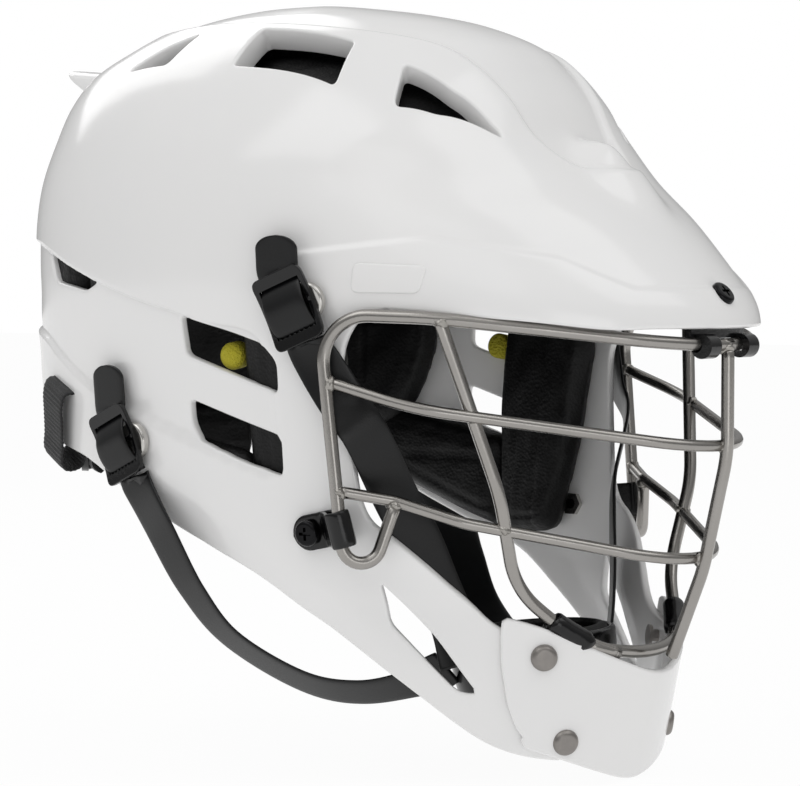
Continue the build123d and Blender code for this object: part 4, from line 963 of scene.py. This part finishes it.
# The frame is arched along the strap, and both ends turn up off the shell.
buckle_points[:, 2] += BUCKLE_ARCH * (buckle_points[:, 1] / half_y) ** 2 - BUCKLE_SINK
bar_end = half_x - BAR_RADIUS
bar_line = [(x, 0, BUCKLE_BASE + BAR_RISE) for x in np.linspace(-bar_end, bar_end, 12)]
bar = wire_mesh(np.array(bar_line), BAR_RADIUS, 12)
buckle_points, buckle_faces = joined([(buckle_points, buckle_faces), bar])

# Black vinyl-coated strap: smooth and rubbery, with a soft broad sheen and a faint press grain.
strap_vinyl = new_material("strap_vinyl_black", "#070708", "#0C0D0E", 12 * MM,
                           roughness=0.33, ior=1.5, specular_ior_level=0.36)
add_relief(strap_vinyl, "TexNoise", 0.556 * MM, 0.05 * MM)

STRAP_WIDTH = 17.0 * MM
STRAP_THICK = 1.5 * MM
# The woven end as (along, out) in millimetres from the buckle's middle: down behind the lip, over
# the middle bar and up behind the top bar. The free end then runs straight up the shell.
WEAVE = [
    (-12.6, 2.3), (-9.8, 3.3), (-6.6, 5.9), (-2.4, 7.3), (2.0, 7.2), (6.0, 5.7), (9.0, 3.6),
    (12.5, 2.3), (14.5, 2.0),
]
TAIL_LENGTH = {"front": 11.5 * MM, "rear": 15.0 * MM}
TAIL_TIP = 5.0 * MM
RUN_START = [(0, -13.2, 1.7), (0, -17.0, 1.1)]
STRAP_RUNS = {
    "front": [
        (0.922, -0.449, 0.000), (0.876, -0.484, -0.077), (0.735, -0.500, -0.229),
        (0.655, -0.523, -0.334), (0.598, -0.543, -0.440), (0.537, -0.560, -0.543),
        (0.4955, -0.564, -0.637),
    ],
    "rear": [
        (0.932, -0.016, -0.330), (0.888, -0.073, -0.470), (0.812, -0.140, -0.590),
        (0.690, -0.262, -0.690), (0.590, -0.360, -0.715), (0.480, -0.450, -0.690),
        (0.440, -0.510, -0.650),
    ],
}
CUP_FACING = {"front": (0.62, -0.78, 0.0), "rear": (0.66, 0.10, -0.74)}
TURN_BEGINS = 0.06
TURN_DONE = {"front": 0.32, "rear": 0.55}

for name in SNAPS:
    middle, axes = buckle_seat(name)
    weave = [np.array((0, y, n)) * MM for y, n in WEAVE]
    up_shell = np.array([-math.sin(BUCKLE_LEAN), math.cos(BUCKLE_LEAN), 0])
    free_end = np.linspace(3 * MM, TAIL_LENGTH[name] + 0.7 * MM, 5)
    line = curved(weave + [weave[-1] + up_shell * reach for reach in free_end], 8)
    tips = round_tip(np.linalg.norm(line - line[-1], axis=1), TAIL_TIP, 0.0004)
    facing = np.tile((0, 0, 1.0), (len(line), 1))
    tail_points, tail_faces = band(line, facing, STRAP_WIDTH, STRAP_THICK, tips)
    # The run from the buckle down to the chin cup turns to face as the cup does.
    stations = [middle + np.array(place) * MM @ axes for place in RUN_START]
    stations += [np.array(place) * SHELL_SIZES for place in STRAP_RUNS[name]]
    line = curved(stations, 10)
    turn = ramp(np.linspace(0, 1, len(line)), TURN_BEGINS, TURN_DONE[name])[:, None]
    facing = axes[2] * (1 - turn) + np.array(CUP_FACING[name]) * turn
    run_points, run_faces = band(line, facing, STRAP_WIDTH, STRAP_THICK)
    for side, flip in SIDES.items():
        body = f"buckle_{name}_{side}"
        piece = new_piece(f"ladder_{name}_{side}", (middle + buckle_points @ axes) * flip,
                          buckle_faces, black_nylon, body, "buckle_plastic")
        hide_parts(body)
        dress(f"snap_socket_{name}_{side}", bright_steel)
        piece = new_piece(f"strap_tail_{name}_{side}", (middle + tail_points @ axes) * flip,
                          tail_faces, strap_vinyl, body, "strap_vinyl")
        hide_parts(f"strap_end_{name}_{side}")
        piece = new_piece(f"strap_{name}_{side}", run_points * flip, run_faces, strap_vinyl, None,
                          "strap_vinyl")
        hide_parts(f"strap_run_{name}_{side}")
        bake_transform(piece)

# ---------------------------------------------------------------------------------------------
# Liner: foam pads in a black leather-like skin, glued inside the shell. Each is a crowned cushion
# with a stitched channel along its border. Yellow foam plugs show through the upper ear vents.

# Black leatherette: matt, with a pebble grain and soft folds that catch a dull light.
liner_skin = new_material("liner_leatherette_black", "#060606", "#0B0B0C", 15 * MM,
                          roughness=0.50, ior=1.5, specular_ior_level=0.3)
add_relief(liner_skin, "TexVoronoi", 1.176 * MM, 0.16 * MM)
add_relief(liner_skin, "TexNoise", 6.25 * MM, 0.18 * MM, Detail=3.0)

PAD_GAP = 3.9 * MM
PAD_THICK = 14.6 * MM
PAD_CROWN = 8.0 * MM
PAD_SEAM = 5.0 * MM
PAD_PIPING = 2.6 * MM
PAD_FOLD = 0.35 * MM
PAD_RIM = ((0.7, 0.55), (0.5, 0.8), (0.3, 0.55))
PAD_LIMITS = (3 * MM, 50 * MM)
HEAD_HALF_WIDTH = 70.5 * MM
HEAD_FRONT = 101.5 * MM
HEAD_BACK = 94.5 * MM
HEAD_MIDDLE = -3.4 * MM


def to_head(points, out):
    """Distance inward from points to the upright column that stands for the head."""
    length = np.where(points[:, 1] < HEAD_MIDDLE, HEAD_FRONT, HEAD_BACK)
    start = np.stack([points[:, 0] / HEAD_HALF_WIDTH, (points[:, 1] - HEAD_MIDDLE) / length], 1)
    way = np.stack([-out[:, 0] / HEAD_HALF_WIDTH, -out[:, 1] / length], 1)
    a, b = (way * way).sum(1), (way * start).sum(1)
    c = (start * start).sum(1) - 1
    root = np.sqrt(np.maximum(b * b - a * c, 0))
    reach = (-b - root) / np.maximum(a, 1e-9)
    return np.clip(reach, *PAD_LIMITS)


def stitch(off, depth, width):
    """Depth of a sewn groove at a distance off its line. depth and width are in millimetres."""
    return depth * MM * np.exp(-(off / (width * MM)) ** 2)


def cushion(name, node, field, window, inset, thick, seams=None, body="helmet", closed=False):
    """Crowned pad against the shell over one outline, with a sewn channel round its border."""
    points, out = skin_grid(*window)
    points, out, faces = trimmed(points - out * inset, out, field, closed)
    depth = field(points)
    full = np.sqrt(np.clip(1 - (1 - np.minimum(depth / PAD_CROWN, 1)) ** 2, 0, 1))
    deep = thick(points, out) if callable(thick) else np.full(len(points), thick)
    groove = stitch(depth - PAD_SEAM, 0.9, 0.8) - stitch(depth - PAD_PIPING, 0.5, 0.9)
    if seams is not None:
        groove += seams(points)
    fold = np.sin(points @ (210, 90, 160)) * np.sin(points @ (-70, 240, 130) + 1.3)
    fold *= PAD_FOLD * full
    outer = points - out * (0.30 * deep * (1 - full) + 0.5 * groove + np.abs(fold))[:, None]
    inner = points - out * (deep * (0.62 + 0.38 * full) - groove + fold)[:, None]
    rim, rims = open_edges(faces)
    aside = -unit(slope_of(field, points, out))[rims]
    rings = [outer[rims] * share + inner[rims] * (1 - share) + aside * bulge * MM
             for share, bulge in PAD_RIM]
    skins = closed_sheet(outer, rings, inner, faces, rim, rims)
    piece = new_piece(name, *skins, liner_skin, body, "pad_foam")
    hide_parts(node)


def side_field(shares, side=0, grow=-0.9 * MM):
    """Field of a pad's outline in side view, on one side only or on both for 0."""
    outline = side_outline(shares, 6.0 * MM)

    def field(points):
        inside = depth_inside(outline, points[:, 1], points[:, 2]) + grow
        return np.minimum(inside, points[:, 0] * side) if side else inside
    return field


def jaw_seams(points):
    """Upright stitched channels of a jaw pad."""
    offs = [points[:, 1] - place * MM + 0.05 * points[:, 2] for place in (-50.0, -61.5, -71.5)]
    return sum(stitch(off, 1.2, 0.8) - stitch(off + 2.4 * MM, 0.5, 0.9) for off in offs)


def ear_seam(points):
    """Upright channel with a raised piping where the ear pad's two panels meet."""
    off = points[:, 1] - 26.5 * MM - 0.08 * points[:, 2]
    return stitch(off, 1.3, 1.0) - stitch(off + 2.2 * MM, 0.6, 0.8)


def long_seams(points):
    """Two level stitched channels of a side cushion."""
    return sum(stitch(points[:, 2] - level * MM, 1.0, 1.0) for level in (-12.5, -29.0))


JAW_PAD = [
    (-0.205, 0.200), (-0.390, 0.200), (-0.425, 0.120), (-0.400, -0.120), (-0.352, -0.385),
    (-0.215, -0.385), (-0.198, -0.050),
]
SIDE_CUSHION = [
    (-0.209, -0.130), (0.035, -0.069), (0.150, -0.050), (0.150, -0.185), (0.022, -0.272),
    (-0.105, -0.338), (-0.209, -0.380),
]
EAR_PAD = [
    (0.228, 0.200), (-0.008, 0.200), (-0.014, 0.095), (0.008, 0.000), (0.042, -0.080),
    (0.082, -0.125), (0.135, -0.110), (0.228, -0.020),
]
TEMPLE_PAD = [(-0.215, 0.235), (0.225, 0.235), (0.225, 0.610), (-0.215, 0.610)]
for side, flip in SIDES.items():
    first = 0.35 if side == "left" else 2 * math.pi - 2.4
    for label, shares, rows, deep, seams in (
        ("jaw_pad", JAW_PAD, (9.5, 15.8, 120), PAD_THICK, jaw_seams),
        ("side_cushion", SIDE_CUSHION, (12.5, 16.6, 90), PAD_THICK - 3 * MM, long_seams),
        ("ear_pad", EAR_PAD, (9.5, 15.2, 90), PAD_THICK, ear_seam),
        ("temple_pad", TEMPLE_PAD, (4.5, 13.0, 120), to_head, None),
    ):
        cushion(f"{label}_soft_{side}", f"{label}_{side}", side_field(shares, flip[0]),
                (*rows, first, first + 2.05, 170), PAD_GAP, deep, seams)

BROW_PAD = [(-0.600, 0.235), (-0.235, 0.235), (-0.235, 0.450), (-0.600, 0.450)]
REAR_PAD = [
    (0.245, -0.110), (0.420, -0.090), (0.440, -0.025), (0.570, -0.020), (0.570, 0.610),
    (0.245, 0.610),
]
cushion("brow_pad_soft", "brow_pad", side_field(BROW_PAD, grow=-1.2 * MM),
        (7.0, 12.6, 90, -1.7, 1.7, 420), PAD_GAP, to_head)
cushion("rear_pad_soft", "rear_pad", side_field(REAR_PAD),
        (4.5, 14.6, 130, math.pi - 1.7, math.pi + 1.7, 300), PAD_GAP, to_head)

CROWN_PAD_INSET = 12.9 * MM
CROWN_PAD_THICK = 8.8 * MM
CROWN_PAD_LOWEST = 96.5 * MM
CROWN_COLUMNS = 300


def crown_field(points):
    """How far points lie above the crown pad's lower border."""
    return points[:, 2] - CROWN_PAD_LOWEST


def crown_seams(points):
    """Channels that run from the front to the back of the crown pad."""
    return sum(stitch(points[:, 0] - place * MM, 1.4, 1.6) for place in (-36, 0, 36))


crown_window = (0.0, 7.6, 130, 0, 2 * math.pi * (1 - 1 / CROWN_COLUMNS), CROWN_COLUMNS)
cushion("crown_pad_soft", "crown_pad", crown_field, crown_window, CROWN_PAD_INSET,
        CROWN_PAD_THICK, crown_seams, closed=True)

# Yellow open-cell foam plugs: matt, with a sponge's fine cells.
yellow_foam = new_material("foam_yellow_open_cell", "#A39A22", "#BDB437", 4 * MM,
                           roughness=0.85, ior=1.4)
add_relief(yellow_foam, "TexVoronoi", 0.909 * MM, 0.5 * MM)
PLUG_RADIUS = 5.0 * MM
PLUG_COUNT = 40
PLUG_DOME = 3.6 * MM
PLUG_FACE = -7.6 * MM
plug_window = (11.0, 15.0, 90, 1.2, 2.0, 90)
plug_seat, plug_axes = skin_seat(plug_window, -0.179 * BRIM_REACH, 0.101 * CROWN_HEIGHT)
plug_side = [(0.3 * MM, -12.6 * MM), (PLUG_RADIUS * 0.8, -12.5 * MM), (PLUG_RADIUS, -11.6 * MM)]
for angle in np.linspace(0, 1.5, 9):
    plug_side.append((PLUG_RADIUS * math.cos(angle), PLUG_FACE + PLUG_DOME * math.sin(angle)))
turn = np.linspace(0, 2 * math.pi, PLUG_COUNT, endpoint=False)
rings = []
for radius, height in plug_side:
    ring = [np.cos(turn) * radius, np.sin(turn) * radius, np.full(PLUG_COUNT, height)]
    rings.append(plug_seat + np.stack(ring, 1) @ plug_axes)
points, faces = lofted(rings)
for side, flip in SIDES.items():
    piece = new_piece(f"foam_plug_soft_{side}", points * flip, faces, yellow_foam,
                      slot="yellow_foam")
    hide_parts(f"foam_plug_{side}")

# ---------------------------------------------------------------------------------------------
# Chin cup: a shallow black bowl of moulded nylon that hangs in the four straps, with a soft pad
# that rolls over its rim.

CUP_MIDDLE = np.array([0, -0.560 * BRIM_REACH, -0.628 * CROWN_HEIGHT])
CUP_SIZES = np.array([42.0, 24.0, 34.0]) * MM
CUP_RIM = CUP_MIDDLE[2] + 8.0 * MM
CUP_WALL = 2.5 * MM
CUP_COUNT = 96
CHIN_PAD_OUT, CHIN_PAD_IN = 2.85 * MM, 7.1 * MM
CHIN_PAD_ROLL = 2.4 * MM


def bowl(profile):
    """Bowl from (inset, height) pairs: rings of the egg drawn in by inset, at heights."""
    turn = np.linspace(0, 2 * math.pi, CUP_COUNT, endpoint=False)
    rings = []
    for inset, height in profile:
        sizes, rise = CUP_SIZES - inset, height - CUP_MIDDLE[2]
        wide = math.sqrt(max(1 - (rise / sizes[2]) ** 2, 0.0004))
        x, y = np.cos(turn) * sizes[0] * wide, np.sin(turn) * sizes[1] * wide
        rings.append(CUP_MIDDLE + np.stack([x, y, np.full(CUP_COUNT, rise)], 1))
    return lofted(rings)


def bowl_side(inset, top, downward):
    """Heights of one wall of the bowl, from its rim to its lowest point or back."""
    lowest = CUP_MIDDLE[2] - (CUP_SIZES[2] - inset)
    heights = top + (lowest - top) * np.sin(np.linspace(0, math.pi / 2, 26))
    return [(inset, height) for height in (heights if downward else heights[::-1])]


cup_lip = [(0.3 * MM, CUP_RIM - 0.3 * MM), (1.25 * MM, CUP_RIM), (2.2 * MM, CUP_RIM - 0.3 * MM)]
cup_top = CUP_RIM - 1 * MM
points, faces = bowl(bowl_side(0, cup_top, False) + cup_lip + bowl_side(CUP_WALL, cup_top, True))
piece = new_piece("chin_cup_bowl", points, faces, black_nylon, "chin_cup", "clip_plastic")
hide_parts("chin_cup")
pad_top = CUP_RIM - 1.4 * MM
pad_roll = []
for angle in np.linspace(0.2, 2.9, 9):
    inset = CHIN_PAD_OUT + (CHIN_PAD_IN - CHIN_PAD_OUT) * (1 - math.cos(angle)) / 2
    pad_roll.append((inset, pad_top + CHIN_PAD_ROLL * math.sin(angle)))
pad_inside = bowl_side(CHIN_PAD_IN, pad_top - 0.4 * MM, True)
points, faces = bowl(bowl_side(CHIN_PAD_OUT, pad_top, False) + pad_roll + pad_inside)
piece = new_piece("chin_pad_soft", points, faces, liner_skin, "chin_cup", "pad_foam")
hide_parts("chin_pad")

# ---------------------------------------------------------------------------------------------
# Nape cradle: a curved nylon plate on two pins that slide in sockets at the back of the shell,
# with a soft pad, and the ribbed webbing that folds out round the rear rim on each side.

NAPE_HALF = np.array([56, 12]) * MM
NAPE_LEVEL = -0.134 * CROWN_HEIGHT
NAPE_OUTLINE = eased(CORNERS * NAPE_HALF, 6 * MM) + (0, NAPE_LEVEL)
NAPE_INSET = 13.5 * MM
NAPE_THICK = 7.8 * MM


def nape_field(points):
    """How far points lie inside the nape pad's outline, seen from behind."""
    return depth_inside(NAPE_OUTLINE, points[:, 0], points[:, 2]) - 0.4 * MM


nape_window = (13.2, 16.0, 70, math.pi - 0.7, math.pi + 0.7, 200)
cushion("nape_pad_soft", "nape_pad", nape_field, nape_window, NAPE_INSET, NAPE_THICK,
        body="nape_cradle")
for node in ("nape_cradle", "nape_sockets"):
    dress(node, black_nylon)

# Ribbed black webbing: a tight weave with cross ribs 1.7 mm apart and a dull textile sheen.
RIB_PITCH = 1.7 * MM
RIB_SHARE = 0.22
webbing = new_material("webbing_black_ribbed", "#0A0A0B", "#131315", 3 * MM,
                       roughness=0.72, ior=1.5, sheen_weight=0.12)
add_relief(webbing, "TexNoise", 0.385 * MM, 0.25 * MM)
FIT_SEAT = np.array([71.9, 62.0, -8.0]) * MM
FIT_LEAN = math.radians(-18)
FIT_FACING = (0.864, 0.493, -0.101)
FIT_WIDTH = 20.0 * MM
FIT_THICK = 1.4 * MM
FIT_STEP = 0.4 * MM
# Stations as (up, out) in millimetres: from inside the shell out through the slot, down over the
# rim and back.
FIT_STATIONS = [
    (-6, -6.2), (4, -6.1), (9.5, -4.6), (11.5, -1.2), (10.8, 2.2), (6, 3.6), (-2, 3.3),
    (-10, 3.0), (-16, 3.2), (-19.2, 1.2), (-19.4, -2.6), (-17.4, -5.6), (-12, -6.1), (-7.5, -7.3),
]
fit_axes = leaned(seat_axes(FIT_FACING), FIT_LEAN)
line = curved([np.array((0, up, out)) * MM for up, out in FIT_STATIONS], 22)
line = spaced(line, FIT_STEP)
length = np.concatenate([[0], np.cumsum(np.linalg.norm(np.diff(line, axis=0), axis=1))])
along = headings(line)
facing = np.stack([np.zeros(len(line)), -along[:, 2], along[:, 1]], 1)
points, faces = band(line, facing, FIT_WIDTH, FIT_THICK)
# The ribs thicken the band. Its two end caps come after its rings and stay as they are.
rings = points[:len(line) * BAND_COUNT].reshape(len(line), BAND_COUNT, 3)
ribs = 1 + RIB_SHARE * np.cos(length * 2 * math.pi / RIB_PITCH)
rings[..., 1:] = line[:, None, 1:] + (rings[..., 1:] - line[:, None, 1:]) * ribs[:, None, None]
for side, flip in SIDES.items():
    piece = new_piece(f"fit_webbing_{side}", (FIT_SEAT + points @ fit_axes) * flip, faces,
                      webbing, slot="fit_webbing")
    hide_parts(f"fit_strap_{side}")

# ---------------------------------------------------------------------------------------------
# Studio: a pale floor, a white sweep behind, large soft lamps and the photograph's viewpoint. The
# floor and the sweep glow white for the camera alone, and the lamps stay weak.

SKY_LOW, SKY_HIGH = 0.20, 0.74
world = bpy.data.worlds.new("white_studio")
bpy.context.scene.world = world
world.use_nodes = True
world.node_tree.nodes.clear()
rays = add_node(world, "LightPath", {}).outputs
seen = add_node(world, "Math", {0: rays["Is Camera Ray"], 1: rays["Is Transmission Ray"]},
                operation="MAXIMUM")
# Seen directly the sweep is white. As a light it is brighter overhead than at the horizon.
heading = add_node(world, "TexCoord", {}).outputs["Generated"]
rise = add_node(world, "SeparateXYZ", {0: heading}).outputs["Z"]
sky = add_node(world, "MapRange", {"Value": rise, "To Min": SKY_LOW, "To Max": SKY_HIGH})
level = add_node(world, "MapRange", {"Value": seen.outputs[0], "To Min": sky.outputs[0]})
sweep = add_node(world, "Background", {"Color": linear("#FFFFFF"), "Strength": level.outputs[0]})
add_node(world, "OutputWorld", {"Surface": sweep.outputs[0]})


def soft_box(name, place, size, power, aim=(0, -0.03, 0.02)):
    """Square soft lamp that looks at the helmet."""
    lamp = bpy.data.lights.new(name, "AREA")
    lamp.energy = power
    lamp.size = size
    holder = bpy.data.objects.new(name, lamp)
    bpy.context.scene.collection.objects.link(holder)
    holder.location = place
    holder.rotation_euler = (Vector(aim) - Vector(place)).to_track_quat("-Z", "Y").to_euler()


soft_box("lamp_over_front", (0.1, -1.0, 1.3), 1.1, 4.2)
soft_box("lamp_by_camera", (-1.2, -0.5, 0.9), 0.8, 1.2)
soft_box("lamp_low_front", (-0.75, -1.0, -0.05), 0.5, 1.1, (0, -0.12, -0.12))
soft_box("lamp_over_side", (-0.8, 0.3, 1.2), 0.9, 3.4)
soft_box("lamp_behind", (0.5, 1.1, 0.9), 0.8, 4)

FLOOR_HALF = 6.0
FLOOR_GAP = 0.3 * MM
FLOOR_SEEN, FLOOR_LIGHT = 0.96, 0.80
floor_paint = bpy.data.materials.new("studio_floor_pale")
floor_paint.use_nodes = True
floor_paint.node_tree.nodes.clear()
rays = add_node(floor_paint, "LightPath", {}).outputs
glow = add_node(floor_paint, "Emission", {"Color": linear("#FFFFFF"), "Strength": 1.0})
matt = add_node(floor_paint, "BsdfDiffuse", {"Color": linear("#F2F2F2")})
seen = add_node(floor_paint, "Math", {0: rays["Is Camera Ray"], 1: FLOOR_SEEN},
                operation="MULTIPLY")
share = add_node(floor_paint, "Math", {0: seen.outputs[0], 1: FLOOR_LIGHT}, operation="MAXIMUM")
mixed = add_node(floor_paint, "MixShader",
                 {0: share.outputs[0], 1: matt.outputs[0], 2: glow.outputs[0]})
add_node(floor_paint, "OutputMaterial", {"Surface": mixed.outputs[0]})
floor_mesh = bpy.data.meshes.new("studio_floor")
corners = [(x, y, cad_box[0][2] - FLOOR_GAP) for x, y in CORNERS * FLOOR_HALF]
floor_mesh.from_pydata(corners, [], [(0, 1, 2, 3)])
floor = bpy.data.objects.new("studio_floor", floor_mesh)
bpy.context.scene.collection.objects.link(floor)
floor_mesh.materials.append(floor_paint)
floor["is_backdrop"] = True

CAMERA_PLACE = (-1.0979, -0.8427, 0.0498)
CAMERA_AIM = (0.8085, 0.5874, -0.0366)
camera = bpy.data.cameras.new("photo_camera")
camera.sensor_width = 36.0
camera.lens = 161.06
viewpoint = bpy.data.objects.new("photo_camera", camera)
bpy.context.scene.collection.objects.link(viewpoint)
viewpoint.location = CAMERA_PLACE
viewpoint.rotation_euler = Vector(CAMERA_AIM).to_track_quat("-Z", "Y").to_euler()
bpy.context.scene.camera = viewpoint
bpy.context.scene.view_settings.view_transform = "Standard"

boxes = {"cad": cad_box, "visual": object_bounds()}
boxes = {name: [list(corner) for corner in box] for name, box in boxes.items()}
